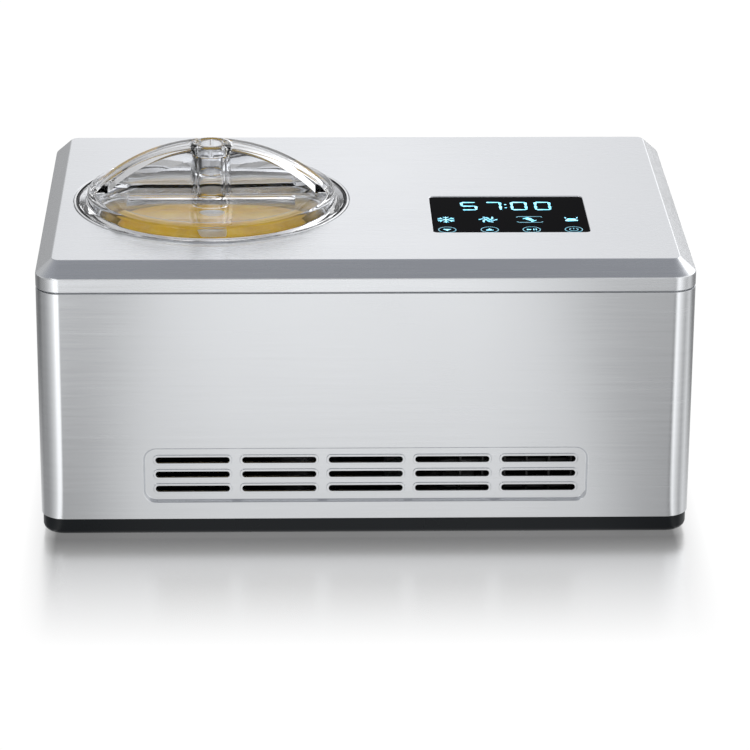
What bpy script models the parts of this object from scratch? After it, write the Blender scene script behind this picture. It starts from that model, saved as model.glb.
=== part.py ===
"""Compressor ice cream maker: a steel table-top machine with a freezing well, a lift-out bowl
with its paddle, a clear turning lid with a filler stopper, and the cooling circuit and geared
motor that work them. Lengths are millimetres, turned to metres as each mesh is made.
+X is the machine's right, +Y its back, +Z up; the origin is under its middle, on the table."""

import math

import bmesh
import bpy
from mathutils import Matrix, Vector

MM = 0.001
FIT = 0.3  # gap between pieces that touch
RUN = 0.6  # gap round a piece that turns or slides

# Housing
BODY_WIDTH = 425.0
BODY_DEPTH = 285.0
CORNER_RADIUS = 16.0
SHEET = 1.5
FOOT_HEIGHT = 2.0
FOOT_RADIUS = 12.0
FOOT_INSET = 34.0
FOOT_POCKET = 1.5
BASE_HEIGHT = 11.5
BASE_INSET = 1.0
BASE_FLOOR = 3.5
BASE_WALL = 3.0
BASE_TUCK = 4.0
WALL_HEIGHT = 156.5
SEAM = 0.8
BAND_HEIGHT = 9.2
CHAMFER_IN = 10.6
CHAMFER_UP = 9.5
FLANGE_WIDTH = 16.0
LIP_DROP = 6.0

# Front grille: a pressed recess with rows of slots
GRILLE_WIDTH = 291.6
GRILLE_HEIGHT = 39.9
GRILLE_DEPTH = 3.0
GRILLE_SLOPE = 5.0
GRILLE_RADIUS = 8.0
GRILLE_RISE = 31.0
SLOT_LENGTH = 48.1
SLOT_HEIGHT = 4.05
SLOT_PITCH_X = 56.4
SLOT_PITCH_Z = 10.0
SLOT_COLUMNS = 5
SLOT_ROWS = 3

# Rear panel
REAR_MARGIN_X = 34.0
REAR_MARGIN_Z = 11.0
REAR_OVERLAP = 12.0
VENT_LENGTH = 46.0
VENT_WIDTH = 4.0
VENT_PITCH = 12.0
VENT_COUNT = 7
GLAND_RADIUS = 9.0
GLAND_BORE = 3.6
SCREW_HEAD = 3.1
SCREW_SHANK = 1.5

# Display
WINDOW_WIDTH = 103.0
WINDOW_DEPTH = 75.6
WINDOW_FRONT = 63.9
WINDOW_RADIUS = 3.0
WINDOW_GLASS = 3.0
WINDOW_SUNK = 0.6
FRAME_RIM = 5.0
FRAME_DROP = 9.4
BOARD_THICK = 1.6

# Well, bowl and lid
WELL_FRONT = 135.5
BOWL_RADIUS = 75.0
BOWL_WALL = 1.2
BOWL_RIM = 3.8
BOWL_RIM_THICK = 1.7
BOWL_SUNK = 9.5
POST_BORE = 10.5
POST_HEIGHT = 52.0
WELL_WALL = 1.2
COLLAR_STEP = 1.5
COLLAR_LEDGE = 7.4
GASKET_WIDTH = 1.4
COLLAR_RIM = 1.3
COLLAR_FLANGE = 6.0
LID_WALL = 2.2
LID_RISE = 7.4
LID_SKIRT = 5.0
BRIDGE_WIDTH = 22.0
BRIDGE_TOP = 39.5
BRIDGE_END = 79.0
TUBE_RADIUS = 13.0
TUBE_BORE = 10.3
TUBE_DROP = 12.0
STOPPER_RADIUS = 13.5
STOPPER_RING = 7.2
STOPPER_WALL = 1.6
STOPPER_REACH = 22.0

# Insulation and evaporator
COIL_TUBE = 4.0
COIL_TURNS = 5
COIL_STEPS = 12
COIL_STUB = 30.0
COIL_BEND = 8.0
COIL_LOW_ANGLE = 30.0
FOAM_INNER_GAP = 6.8
FOAM_WALL = 12.0
FOAM_FLOOR = 10.0
FOAM_TO_WALL = 5.9

# Drive
MOTOR_RADIUS = 26.0
MOTOR_HEIGHT = 22.0
MOTOR_LIFT = 2.5
GEARBOX_HEIGHT = 19.7
GEARBOX_WALL = 2.0
GEAR_MODULE = 1.25
PINION_TEETH = 8
WHEEL_TEETH = 32
OUTPUT_TEETH = 40
GEAR_THICK = 5.0
SPINDLE_RADIUS = 4.0
SPINDLE_SQUARE = 8.0
DRIVE_LENGTH = 15.0
BEARING_RADIUS = 9.0
HUB_WALL = 2.7
PADDLE_GAP = 3.0
BATCH_DEPTH = 97.0

# Cooling
COMPRESSOR_RADIUS = 52.0
COMPRESSOR_HEIGHT = 120.0
FIN_COUNT = 9
FIN_THICK = 1.2
CONDENSER_DEPTH = 28.0
CONDENSER_HEIGHT = 90.0
RUN_PITCH = 17.0
RUN_COUNT = 5
PIPE_RADIUS = 4.0
FAN_SIDE = 92.0
FAN_DEPTH = 25.0
FAN_BLADES = 7

# Places worked out from the sizes above
BASE_TOP = FOOT_HEIGHT + BASE_HEIGHT
FLOOR_Z = FOOT_HEIGHT + BASE_FLOOR
WALL_LOW = BASE_TOP + FIT
WALL_TOP = BASE_TOP + WALL_HEIGHT
COVER_LOW = WALL_TOP + SEAM
BAND_TOP = COVER_LOW + BAND_HEIGHT
TOP_Z = BAND_TOP + CHAMFER_UP
UNDER_TOP = TOP_Z - SHEET
INNER_X = BODY_WIDTH / 2 - SHEET
INNER_Y = BODY_DEPTH / 2 - SHEET

BOWL_OUTER = BOWL_RADIUS + BOWL_WALL
WELL_INNER = BOWL_OUTER + RUN
WELL_OUTER = WELL_INNER + WELL_WALL
RIM_RADIUS = BOWL_OUTER + BOWL_RIM
COLLAR_INNER = RIM_RADIUS + COLLAR_STEP
GASKET_INNER = COLLAR_INNER + COLLAR_LEDGE + FIT
GASKET_OUTER = GASKET_INNER + GASKET_WIDTH
COLLAR_OUTER = GASKET_OUTER + FIT + COLLAR_RIM
OPENING_RADIUS = COLLAR_OUTER + FIT
COIL_RADIUS = (WELL_OUTER + COIL_TUBE + FIT) / math.cos(math.pi / COIL_STEPS)
FOAM_INNER = COIL_RADIUS + FOAM_INNER_GAP
FOAM_OUTER = FOAM_INNER + FOAM_WALL
WELL_X = FOAM_OUTER + FOAM_TO_WALL - INNER_X
WELL_Y = WELL_FRONT - BODY_DEPTH / 2
RIM_Z = TOP_Z - BOWL_SUNK
WELL_RIM_Z = RIM_Z - BOWL_RIM_THICK - FIT

MOTOR_LOW = FLOOR_Z + MOTOR_LIFT
GEARBOX_LOW = MOTOR_LOW + MOTOR_HEIGHT + FIT
GEARBOX_TOP = GEARBOX_LOW + GEARBOX_HEIGHT
FOAM_LOW = GEARBOX_TOP + 2.5
WELL_LOW = FOAM_LOW + FOAM_FLOOR + 0.5
BOWL_LOW = WELL_LOW + WELL_WALL + RUN
BOWL_FLOOR = BOWL_LOW + BOWL_WALL
POST_TOP = BOWL_FLOOR + POST_HEIGHT
PADDLE_LOW = BOWL_FLOOR + RUN
LID_FLOOR = TOP_Z + LID_RISE
PADDLE_REACH = BOWL_RADIUS - PADDLE_GAP
SPINDLE_TOP = POST_TOP + DRIVE_LENGTH - 5.0
STAGE_ONE = GEAR_MODULE * (PINION_TEETH + WHEEL_TEETH) / 2
STAGE_TWO = GEAR_MODULE * (PINION_TEETH + OUTPUT_TEETH) / 2
WHEEL_X = WELL_X + STAGE_TWO
MOTOR_X = WHEEL_X + STAGE_ONE
WHEEL_LOW = GEARBOX_LOW + GEARBOX_WALL + 2.2
OUTPUT_LOW = WHEEL_LOW + GEAR_THICK + 1.0

WINDOW_X = (WELL_X + OPENING_RADIUS + BODY_WIDTH / 2 - CHAMFER_IN) / 2
WINDOW_Y = WINDOW_FRONT + WINDOW_DEPTH / 2 - BODY_DEPTH / 2

COMPRESSOR_X = INNER_X - COMPRESSOR_RADIUS - 16.0
COMPRESSOR_Y = INNER_Y - COMPRESSOR_RADIUS - 29.0
RUN_RIGHT = INNER_X - PIPE_RADIUS - RUN_PITCH / 2 - 13.0
RUN_LEFT = WELL_X + FOAM_OUTER + 53.0
PIPE_Y = 40.0 - BODY_DEPTH / 2
RUN_LOW = FLOOR_Z + 15.0
RUN_HIGH = RUN_LOW + RUN_PITCH * (RUN_COUNT - 1)
CONDENSER_BACK = PIPE_Y + PIPE_RADIUS + 1.0
FAN_X = (RUN_LEFT + RUN_RIGHT) / 2
FAN_FRONT = CONDENSER_BACK + 6.0
FAN_Z = FLOOR_Z + 2.5 + FAN_SIDE / 2

PARTS = None
CUTTERS = None


def start_scene():
    """Clears the scene and makes the two collections."""
    global PARTS, CUTTERS
    for obj in list(bpy.data.objects):
        bpy.data.objects.remove(obj, do_unlink=True)
    PARTS = bpy.data.collections.new("ice_cream_maker")
    CUTTERS = bpy.data.collections.new("cutters")
    CUTTERS.hide_render = True
    bpy.context.scene.collection.children.link(PARTS)
    bpy.context.scene.collection.children.link(CUTTERS)


def finish_material(name, colour, roughness, metallic=0.0, transmission=0.0):
    """A Principled material, made once for each name."""
    found = bpy.data.materials.get(name)
    if found:
        return found
    made = bpy.data.materials.new(name)
    made.use_nodes = True
    shader = made.node_tree.nodes["Principled BSDF"]
    shader.inputs["Base Color"].default_value = (*colour, 1.0)
    shader.inputs["Roughness"].default_value = roughness
    shader.inputs["Metallic"].default_value = metallic
    shader.inputs["Transmission Weight"].default_value = transmission
    return made


STEEL = ("brushed_steel", (0.56, 0.57, 0.58), 0.3, 1.0)
ZINC = ("zinc_plate", (0.42, 0.43, 0.44), 0.4, 1.0)
BLACK = ("black_plastic", (0.02, 0.02, 0.022), 0.45, 0.0)
RUBBER = ("black_rubber", (0.015, 0.015, 0.015), 0.8, 0.0)
GLASS = ("black_glass", (0.008, 0.01, 0.014), 0.08, 0.0)
CLEAR = ("clear_plastic", (0.92, 0.95, 0.96), 0.05, 0.0, 0.9)
COPPER = ("copper", (0.72, 0.36, 0.22), 0.3, 1.0)
ALLOY = ("cast_alloy", (0.5, 0.5, 0.51), 0.45, 1.0)
FOAM = ("white_foam", (0.86, 0.84, 0.76), 0.9, 0.0)
WHITE = ("white_acetal", (0.85, 0.85, 0.83), 0.4, 0.0)
BOARD = ("circuit_board", (0.03, 0.22, 0.09), 0.5, 0.0)
PAINT = ("black_paint", (0.02, 0.02, 0.02), 0.3, 0.3)
CREAM = ("frozen_cream", (0.72, 0.5, 0.05), 0.5, 0.0)
SILICONE = ("grey_silicone", (0.25, 0.26, 0.28), 0.6, 0.0)


def box(low, high, radius=0.0, axis=2, steps=4, bm=None):
    """A block between two corners, with the edges along one axis rounded."""
    shape = bmesh.new()
    low, high = Vector(low), Vector(high)
    place = Matrix.Translation((low + high) / 2) @ Matrix.Diagonal((*(high - low), 1.0))
    bmesh.ops.create_cube(shape, size=1.0, matrix=place)
    if radius > 0.0:
        along = []
        for edge in shape.edges:
            run = edge.verts[1].co - edge.verts[0].co
            if abs(run[axis]) > 0.5 * run.length:
                along.append(edge)
        bmesh.ops.bevel(
            shape, geom=along, offset=radius, segments=steps, profile=0.5, affect="EDGES"
        )
    return merged(shape, bm)


def rod(centre, radius, start, end, axis=2, sides=32, end_radius=None, bm=None):
    """A cylinder, or a cone, round a line through centre along one axis."""
    shape = bmesh.new()
    bmesh.ops.create_cone(
        shape,
        cap_ends=True,
        segments=sides,
        radius1=radius,
        radius2=radius if end_radius is None else end_radius,
        depth=end - start,
    )
    turn = {0: Matrix.Rotation(math.pi / 2, 4, "Y"), 1: Matrix.Rotation(-math.pi / 2, 4, "X")}
    middle = Vector(centre)
    middle[axis] = (start + end) / 2
    place = Matrix.Translation(middle) @ turn.get(axis, Matrix.Identity(4))
    bmesh.ops.transform(shape, matrix=place, verts=shape.verts)
    return merged(shape, bm)


def merged(shape, bm):
    """Adds a shape to a mesh that holds others, or returns it alone."""
    if bm is None:
        return shape
    spare = bpy.data.meshes.new("spare")
    shape.to_mesh(spare)
    shape.free()
    bm.from_mesh(spare)
    bpy.data.meshes.remove(spare)
    return bm


def taper(shape, normal, thickness, depth):
    """Draws the flat face that looks along normal out by depth, and in at its edges."""
    normal = Vector(normal)
    shape.normal_update()
    faces = [face for face in shape.faces if face.normal.dot(normal) > 0.99]
    bmesh.ops.inset_individual(
        shape, faces=faces, thickness=thickness, depth=depth, use_even_offset=True
    )
    return shape


def made_object(name, shape, collection):
    """An object from a mesh in millimetres."""
    bmesh.ops.scale(shape, vec=(MM, MM, MM), verts=shape.verts)
    mesh = bpy.data.meshes.new(name)
    shape.to_mesh(mesh)
    shape.free()
    obj = bpy.data.objects.new(name, mesh)
    collection.objects.link(obj)
    return obj


def part(name, shape, finish, smooth=True):
    """A sub-part with its material."""
    obj = made_object(name, shape, PARTS)
    obj.data.materials.append(finish_material(*finish))
    if smooth:
        obj.data.shade_smooth()
        obj.data.set_sharp_from_angle(angle=math.radians(30))
    return obj


def helper(name, shape):
    """A cutter, or a shape to be joined on."""
    obj = made_object(name, shape, CUTTERS)
    obj.hide_render = True
    obj.display_type = "WIRE"
    return obj


def combine(obj, other, operation):
    modifier = obj.modifiers.new(other.name, "BOOLEAN")
    modifier.operation = operation
    modifier.solver = "EXACT"
    modifier.object = other


def cut(obj, name, shape):
    combine(obj, helper(f"{obj.name}_{name}", shape), "DIFFERENCE")


def add(obj, name, shape):
    combine(obj, helper(f"{obj.name}_{name}", shape), "UNION")


def profile_object(name, points, centre, steps, collection):
    """A turned shape: (radius, height) points swept round a vertical axis by a Screw."""
    area = 0.0
    closing = list(points) + [points[0]]
    for (r0, z0), (r1, z1) in zip(closing, closing[1:]):
        area += r0 * z1 - r1 * z0
    ordered = list(points) if area < 0 else list(reversed(points))
    ends_on_axis = min(radius for radius, _ in points) == 0.0
    if ends_on_axis:
        while not (ordered[0][0] == 0.0 and ordered[-1][0] == 0.0):
            ordered.append(ordered.pop(0))
    mesh = bpy.data.meshes.new(name)
    corners = [(radius * MM, 0.0, height * MM) for radius, height in ordered]
    edges = [(i, i + 1) for i in range(len(corners) - 1)]
    if not ends_on_axis:
        edges.append((len(corners) - 1, 0))
    mesh.from_pydata(corners, edges, [])
    obj = bpy.data.objects.new(name, mesh)
    obj.location = (centre[0] * MM, centre[1] * MM, 0.0)
    collection.objects.link(obj)
    screw = obj.modifiers.new("turn", "SCREW")
    screw.steps = steps
    screw.render_steps = steps
    screw.use_merge_vertices = True
    screw.merge_threshold = 0.00005
    screw.use_smooth_shade = True
    return obj


def turned(name, points, centre, finish, steps=48):
    """A sub-part turned round a vertical axis."""
    obj = profile_object(name, points, centre, steps, PARTS)
    obj.data.materials.append(finish_material(*finish))
    return obj


def rounded_route(points, bend, steps=4):
    """A route whose corners are arcs of one bend radius."""
    corners = [Vector(point) for point in points]
    route = [corners[0]]
    for before, corner, after in zip(corners, corners[1:], corners[2:]):
        back = (before - corner).normalized()
        ahead = (after - corner).normalized()
        half = back.angle(ahead) / 2
        reach = bend / math.tan(half)
        centre = corner + (back + ahead).normalized() * bend / math.sin(half)
        first = (corner + back * reach - centre).normalized()
        last = (corner + ahead * reach - centre).normalized()
        for step in range(steps + 1):
            route.append(centre + first.slerp(last, step / steps) * bend)
    route.append(corners[-1])
    return route


def tube(name, points, radius, finish, resolution=2):
    """A tube along a route, with closed ends."""
    curve = bpy.data.curves.new(name, "CURVE")
    curve.dimensions = "3D"
    curve.bevel_depth = radius * MM
    curve.bevel_resolution = resolution
    curve.use_fill_caps = True
    spline = curve.splines.new("POLY")
    spline.points.add(len(points) - 1)
    for spot, point in zip(spline.points, points):
        spot.co = (*(Vector(point) * MM), 1.0)
    curve.materials.append(finish_material(*finish))
    obj = bpy.data.objects.new(name, curve)
    PARTS.objects.link(obj)
    return obj


def gear_outline(teeth, centre, phase):
    """Tooth corners of a spur gear: root, flank, tip, round the whole wheel."""
    pitch = GEAR_MODULE * teeth / 2
    points = []
    for tooth in range(teeth):
        middle = phase + 2 * math.pi * tooth / teeth
        for share, reach in ((-0.33, -1.25), (-0.13, 0.9), (0.13, 0.9), (0.33, -1.25)):
            angle = middle + share * 2 * math.pi / teeth
            radius = pitch + reach * GEAR_MODULE
            x = centre[0] + radius * math.cos(angle)
            y = centre[1] + radius * math.sin(angle)
            points.append((x, y))
    return points


def ring_outline(centre, radius, sides=20):
    points = []
    for step in range(sides):
        angle = 2 * math.pi * step / sides
        points.append((centre[0] + radius * math.cos(angle), centre[1] + radius * math.sin(angle)))
    return points


def plate_mesh(outlines, low, high):
    """A flat plate from 2D outlines, the inner ones holes, as a closed mesh in millimetres."""
    curve = bpy.data.curves.new("plate", "CURVE")
    curve.dimensions = "2D"
    curve.fill_mode = "BOTH"
    curve.extrude = (high - low) / 2
    for outline in outlines:
        spline = curve.splines.new("POLY")
        spline.points.add(len(outline) - 1)
        spline.use_cyclic_u = True
        for spot, (x, y) in zip(spline.points, outline):
            spot.co = (x, y, 0.0, 1.0)
    flat = bpy.data.objects.new("plate", curve)
    bpy.context.scene.collection.objects.link(flat)
    bpy.context.view_layer.update()
    graph = bpy.context.evaluated_depsgraph_get()
    mesh = bpy.data.meshes.new_from_object(flat.evaluated_get(graph))
    shape = bmesh.new()
    shape.from_mesh(mesh)
    bmesh.ops.remove_doubles(shape, verts=shape.verts, dist=0.001)
    bmesh.ops.translate(shape, vec=(0.0, 0.0, (low + high) / 2), verts=shape.verts)
    bmesh.ops.recalc_face_normals(shape, faces=shape.faces)
    bpy.data.objects.remove(flat, do_unlink=True)
    bpy.data.curves.remove(curve)
    bpy.data.meshes.remove(mesh)
    return shape


def body_outline(inset, low, high, steps=5):
    """A block with the housing's rounded outline, set in by an even distance."""
    x = BODY_WIDTH / 2 - inset
    y = BODY_DEPTH / 2 - inset
    return box((-x, -y, low), (x, y, high), CORNER_RADIUS - inset, 2, steps)


def corner_places(inset_x, inset_y):
    for sign_x in (-1, 1):
        for sign_y in (-1, 1):
            yield sign_x * (BODY_WIDTH / 2 - inset_x), sign_y * (BODY_DEPTH / 2 - inset_y)


def base_tray():
    """Black tray under the whole machine, its lower edge drawn in, with pockets for the feet."""
    straight = body_outline(BASE_INSET, FOOT_HEIGHT + BASE_TUCK, BASE_TOP)
    taper(straight, (0, 0, -1), BASE_TUCK, BASE_TUCK)
    tray = part("base_tray", straight, BLACK)
    cut(tray, "inside", body_outline(BASE_INSET + BASE_WALL, FLOOR_Z, BASE_TOP + 5.0))
    bosses = bmesh.new()
    holes = bmesh.new()
    for x, y in corner_places(FLANGE_WIDTH - 5.0, FLANGE_WIDTH - 5.0):
        rod((x, y, 0), 6.0, FLOOR_Z - 1.0, BASE_TOP, sides=12, bm=bosses)
        rod((x, y, 0), SCREW_SHANK + FIT, 0.0, BASE_TOP + 5.0, sides=12, bm=holes)
    add(tray, "bosses", bosses)
    cut(tray, "holes", holes)
    recesses = bmesh.new()
    for x, y in corner_places(FLANGE_WIDTH - 5.0, FLANGE_WIDTH - 5.0):
        rod((x, y, 0), SCREW_HEAD + FIT, 0.0, FOOT_HEIGHT + 3.8, sides=12, bm=recesses)
    for x, y in corner_places(FOOT_INSET, FOOT_INSET):
        rod((x, y, 0), FOOT_RADIUS + FIT, 0.0, FOOT_HEIGHT + FOOT_POCKET, sides=24, bm=recesses)
    cut(tray, "recesses", recesses)


def feet():
    for number, (x, y) in enumerate(corner_places(FOOT_INSET, FOOT_INSET), 1):
        top = FOOT_HEIGHT + FOOT_POCKET - FIT
        part(f"foot_{number}", rod((x, y, 0), FOOT_RADIUS, 0.0, top, sides=24), RUBBER)


def base_screws():
    """Screws up through the tray's bosses into the wrap's lower flange."""
    for number, (x, y) in enumerate(corner_places(FLANGE_WIDTH - 5.0, FLANGE_WIDTH - 5.0), 1):
        head = rod((x, y, 0), SCREW_HEAD, FOOT_HEIGHT + 1.0, FOOT_HEIGHT + 3.5, sides=12)
        screw = part(f"base_screw_{number}", head, ZINC)
        shank = rod((x, y, 0), SCREW_SHANK, FOOT_HEIGHT + 2.0, WALL_LOW + 8.0, sides=12)
        add(screw, "shank", shank)


def grille_centre():
    return WALL_LOW + GRILLE_RISE - FIT


def housing_wrap():
    """Steel wrap round front, sides and rear corners, with the grille pressed in its front."""
    wrap = part("housing_wrap", body_outline(0.0, WALL_LOW, WALL_TOP), STEEL)
    cut(wrap, "inside", body_outline(SHEET, WALL_LOW + SHEET, WALL_TOP + 5.0))
    cut(wrap, "floor", body_outline(FLANGE_WIDTH, WALL_LOW - 5.0, WALL_LOW + 5.0, steps=1))
    front = -BODY_DEPTH / 2
    half = GRILLE_WIDTH / 2
    low = grille_centre() - GRILLE_HEIGHT / 2
    high = grille_centre() + GRILLE_HEIGHT / 2
    dish = box(
        (-half, front + SHEET / 2, low),
        (half, front + SHEET + GRILLE_DEPTH, high),
        GRILLE_RADIUS, 1,
    )
    add(wrap, "dish", dish)
    pocket = box((-half, front - 2.0, low), (half, front, high), GRILLE_RADIUS, 1)
    taper(pocket, (0, 1, 0), GRILLE_SLOPE, GRILLE_DEPTH)
    cut(wrap, "pocket", pocket)
    slots = bmesh.new()
    for column in range(SLOT_COLUMNS):
        for row in range(SLOT_ROWS):
            x = (column - (SLOT_COLUMNS - 1) / 2) * SLOT_PITCH_X
            z = grille_centre() + (row - (SLOT_ROWS - 1) / 2) * SLOT_PITCH_Z
            corner = (x - SLOT_LENGTH / 2, front - 5.0, z - SLOT_HEIGHT / 2)
            other = (x + SLOT_LENGTH / 2, front + 12.0, z + SLOT_HEIGHT / 2)
            box(corner, other, SLOT_HEIGHT * 0.45, 1, 2, slots)
    cut(wrap, "slots", slots)
    opening_x = BODY_WIDTH / 2 - REAR_MARGIN_X
    rear = box(
        (-opening_x, INNER_Y - 5.0, WALL_LOW + REAR_MARGIN_Z),
        (opening_x, INNER_Y + 10.0, WALL_TOP - REAR_MARGIN_Z),
    )
    cut(wrap, "rear", rear)
    holes = bmesh.new()
    for x, z in rear_screw_places():
        rod((x, 0, z), SCREW_HEAD + FIT, INNER_Y - 3.0, INNER_Y + 10.0, 1, 12, bm=holes)
    for x, y in corner_places(FLANGE_WIDTH - 5.0, FLANGE_WIDTH - 5.0):
        rod((x, y, 0), SCREW_SHANK + FIT, WALL_LOW - 5.0, WALL_LOW + 5.0, sides=12, bm=holes)
    cut(wrap, "holes", holes)


def rear_screw_places():
    x = BODY_WIDTH / 2 - REAR_MARGIN_X + REAR_OVERLAP / 2
    for sign in (-1, 1):
        for z in (WALL_LOW + 26.0, WALL_TOP - 26.0):
            yield sign * x, z


def gland_place():
    return COMPRESSOR_X - 5.0, WALL_LOW + REAR_MARGIN_Z + 22.0


def rear_panel():
    """Rear plate with louvre slots, its flange behind the wrap's edges."""
    x = BODY_WIDTH / 2 - REAR_MARGIN_X
    low = WALL_LOW + REAR_MARGIN_Z
    high = WALL_TOP - REAR_MARGIN_Z
    face = box(
        (-x + FIT, INNER_Y - 1.0, low + FIT), (x - FIT, INNER_Y + SHEET - FIT, high - FIT)
    )
    panel = part("rear_panel", face, STEEL)
    flange = box(
        (-x - REAR_OVERLAP, INNER_Y - FIT - SHEET, low - 4.0),
        (x + REAR_OVERLAP, INNER_Y - FIT, high + 4.0),
    )
    add(panel, "flange", flange)
    holes = bmesh.new()
    for hole_x, z in rear_screw_places():
        rod((hole_x, 0, z), SCREW_SHANK + FIT, INNER_Y - 9.0, INNER_Y + 9.0, 1, 12, bm=holes)
    for middle in (WELL_X, COMPRESSOR_X - 30.0):
        for count in range(VENT_COUNT):
            slot_x = middle + (count - (VENT_COUNT - 1) / 2) * VENT_PITCH
            corner = (slot_x - VENT_WIDTH / 2, INNER_Y - 9.0, high - 18.0 - VENT_LENGTH)
            other = (slot_x + VENT_WIDTH / 2, INNER_Y + 9.0, high - 18.0)
            box(corner, other, VENT_WIDTH * 0.3, 1, 1, holes)
    gland_x, gland_z = gland_place()
    rod((gland_x, 0, gland_z), GLAND_RADIUS, INNER_Y - 9.0, INNER_Y + 9.0, 1, bm=holes)
    cut(panel, "holes", holes)


def rear_screws():
    for number, (x, z) in enumerate(rear_screw_places(), 1):
        head = rod((x, 0, z), SCREW_HEAD, INNER_Y, INNER_Y + SHEET - 0.2, 1, 12)
        screw = part(f"rear_screw_{number}", head, ZINC)
        add(screw, "shank", rod((x, 0, z), SCREW_SHANK, INNER_Y - 7.0, INNER_Y + 0.5, 1, 12))


def cord_gland():
    """Bush in the rear panel that a mains lead would pass through."""
    x, z = gland_place()
    bush = rod((x, 0, z), GLAND_RADIUS - FIT, INNER_Y - 10.0, INNER_Y + SHEET - FIT, 1)
    gland = part("cord_gland", bush, RUBBER)
    collar = rod((x, 0, z), GLAND_RADIUS + 2.5, INNER_Y - 8.0, INNER_Y - SHEET - 2 * FIT, 1)
    add(gland, "collar", collar)
    cut(gland, "bore", rod((x, 0, z), GLAND_BORE, INNER_Y - 20.0, INNER_Y + 20.0, 1, 20))


def top_cover():
    """Steel top with a chamfer all round, a round opening for the well and a window opening."""
    outer = taper(body_outline(0.0, COVER_LOW, BAND_TOP), (0, 0, 1), CHAMFER_IN, CHAMFER_UP)
    cover = part("top_cover", outer, STEEL)
    slant = SHEET * 0.6
    inner = body_outline(SHEET, COVER_LOW - 5.0, BAND_TOP - slant)
    taper(inner, (0, 0, 1), CHAMFER_IN, CHAMFER_UP - SHEET + slant)
    cut(cover, "inside", inner)
    add(cover, "lip", body_outline(SHEET + FIT, COVER_LOW - LIP_DROP, COVER_LOW + 3.0))
    add(cover, "shelf", body_outline(SHEET - 0.5, COVER_LOW + 1.0, COVER_LOW + 4.0))
    cut(cover, "room", body_outline(2 * SHEET + FIT, COVER_LOW - 20.0, COVER_LOW + 5.1))
    openings = rod((WELL_X, WELL_Y, 0), OPENING_RADIUS, TOP_Z - 5.0, TOP_Z + 5.0, sides=60)
    x = WINDOW_WIDTH / 2
    y = WINDOW_DEPTH / 2
    corner = (WINDOW_X - x, WINDOW_Y - y, TOP_Z - 5.0)
    other = (WINDOW_X + x, WINDOW_Y + y, TOP_Z + 5.0)
    box(corner, other, WINDOW_RADIUS, bm=openings)
    cut(cover, "openings", openings)


def window_block(grow, low, high, radius=WINDOW_RADIUS):
    x = WINDOW_WIDTH / 2 + grow
    y = WINDOW_DEPTH / 2 + grow
    corner = (WINDOW_X - x, WINDOW_Y - y, low)
    other = (WINDOW_X + x, WINDOW_Y + y, high)
    return box(corner, other, radius)


def display():
    """Glass over a touch board, both held in a plastic frame under the cover."""
    glass_top = TOP_Z - WINDOW_SUNK
    glass_low = glass_top - WINDOW_GLASS
    frame_low = glass_low - FRAME_DROP
    part("display_window", window_block(-FIT, glass_low, glass_top), GLASS)
    outer = window_block(FRAME_RIM, frame_low, UNDER_TOP - FIT)
    frame = part("display_frame", outer, BLACK)
    cut(frame, "seat", window_block(0.0, glass_low - FIT, TOP_Z + 5.0))
    cut(frame, "room", window_block(-3.0, frame_low + 2.0, TOP_Z + 5.0, 1.0))
    board_low = glass_low - FIT - 2.0 - BOARD_THICK
    part("touch_board", window_block(-3.0 - FIT, board_low, board_low + BOARD_THICK, 1.0), BOARD)


def well_collar():
    """Ring round the mouth of the well: a ledge for the lid, a gasket groove and a bright rim."""
    ledge = TOP_Z - 2.3
    groove = TOP_Z - 3.5
    flange_top = UNDER_TOP - FIT
    points = [
        (COLLAR_INNER, ledge),
        (GASKET_INNER - FIT, ledge),
        (GASKET_INNER - FIT, groove),
        (GASKET_OUTER + FIT, groove),
        (GASKET_OUTER + FIT, TOP_Z + 0.4),
        (COLLAR_OUTER, TOP_Z + 0.4),
        (COLLAR_OUTER, flange_top),
        (COLLAR_OUTER + COLLAR_FLANGE, flange_top),
        (COLLAR_OUTER + COLLAR_FLANGE, flange_top - 3.0),
        (COLLAR_INNER + 3.0, flange_top - 3.0),
        (COLLAR_INNER + 3.0, WELL_RIM_Z + FIT),
        (COLLAR_INNER, WELL_RIM_Z + FIT),
    ]
    turned("well_collar", points, (WELL_X, WELL_Y), STEEL, 40)
    top = TOP_Z - 0.2
    gasket = [
        (GASKET_INNER, groove + FIT),
        (GASKET_INNER, top),
        (GASKET_OUTER, top),
        (GASKET_OUTER, groove + FIT),
    ]
    turned("collar_gasket", gasket, (WELL_X, WELL_Y), RUBBER, 40)


def freezer_well():
    """Aluminium pot that the evaporator cools, with a sleeve hole in its floor."""
    bore = BEARING_RADIUS + FIT
    points = [
        (bore, WELL_LOW),
        (WELL_OUTER, WELL_LOW),
        (WELL_OUTER, WELL_RIM_Z - 1.5),
        (COLLAR_INNER + 4.0, WELL_RIM_Z - 1.5),
        (COLLAR_INNER + 4.0, WELL_RIM_Z),
        (WELL_INNER, WELL_RIM_Z),
        (WELL_INNER, WELL_LOW + WELL_WALL),
        (bore, WELL_LOW + WELL_WALL),
    ]
    turned("freezer_well", points, (WELL_X, WELL_Y), ALLOY, 40)


def coil_ends():
    """Each end of the evaporator: where it leaves the well, its corner and its outer end."""
    low = WELL_LOW + COIL_TUBE + 7.0
    high = WELL_RIM_Z - COIL_TUBE - 12.0
    for angle, z, turn in ((math.radians(COIL_LOW_ANGLE), low, -1), (0.0, high, 1)):
        out = Vector((math.cos(angle), math.sin(angle), 0.0))
        along = Vector((-math.sin(angle), math.cos(angle), 0.0)) * turn
        start = Vector((WELL_X, WELL_Y, z)) + out * COIL_RADIUS
        corner = start + along * COIL_BEND
        yield start, corner, corner + out * COIL_STUB, out


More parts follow.
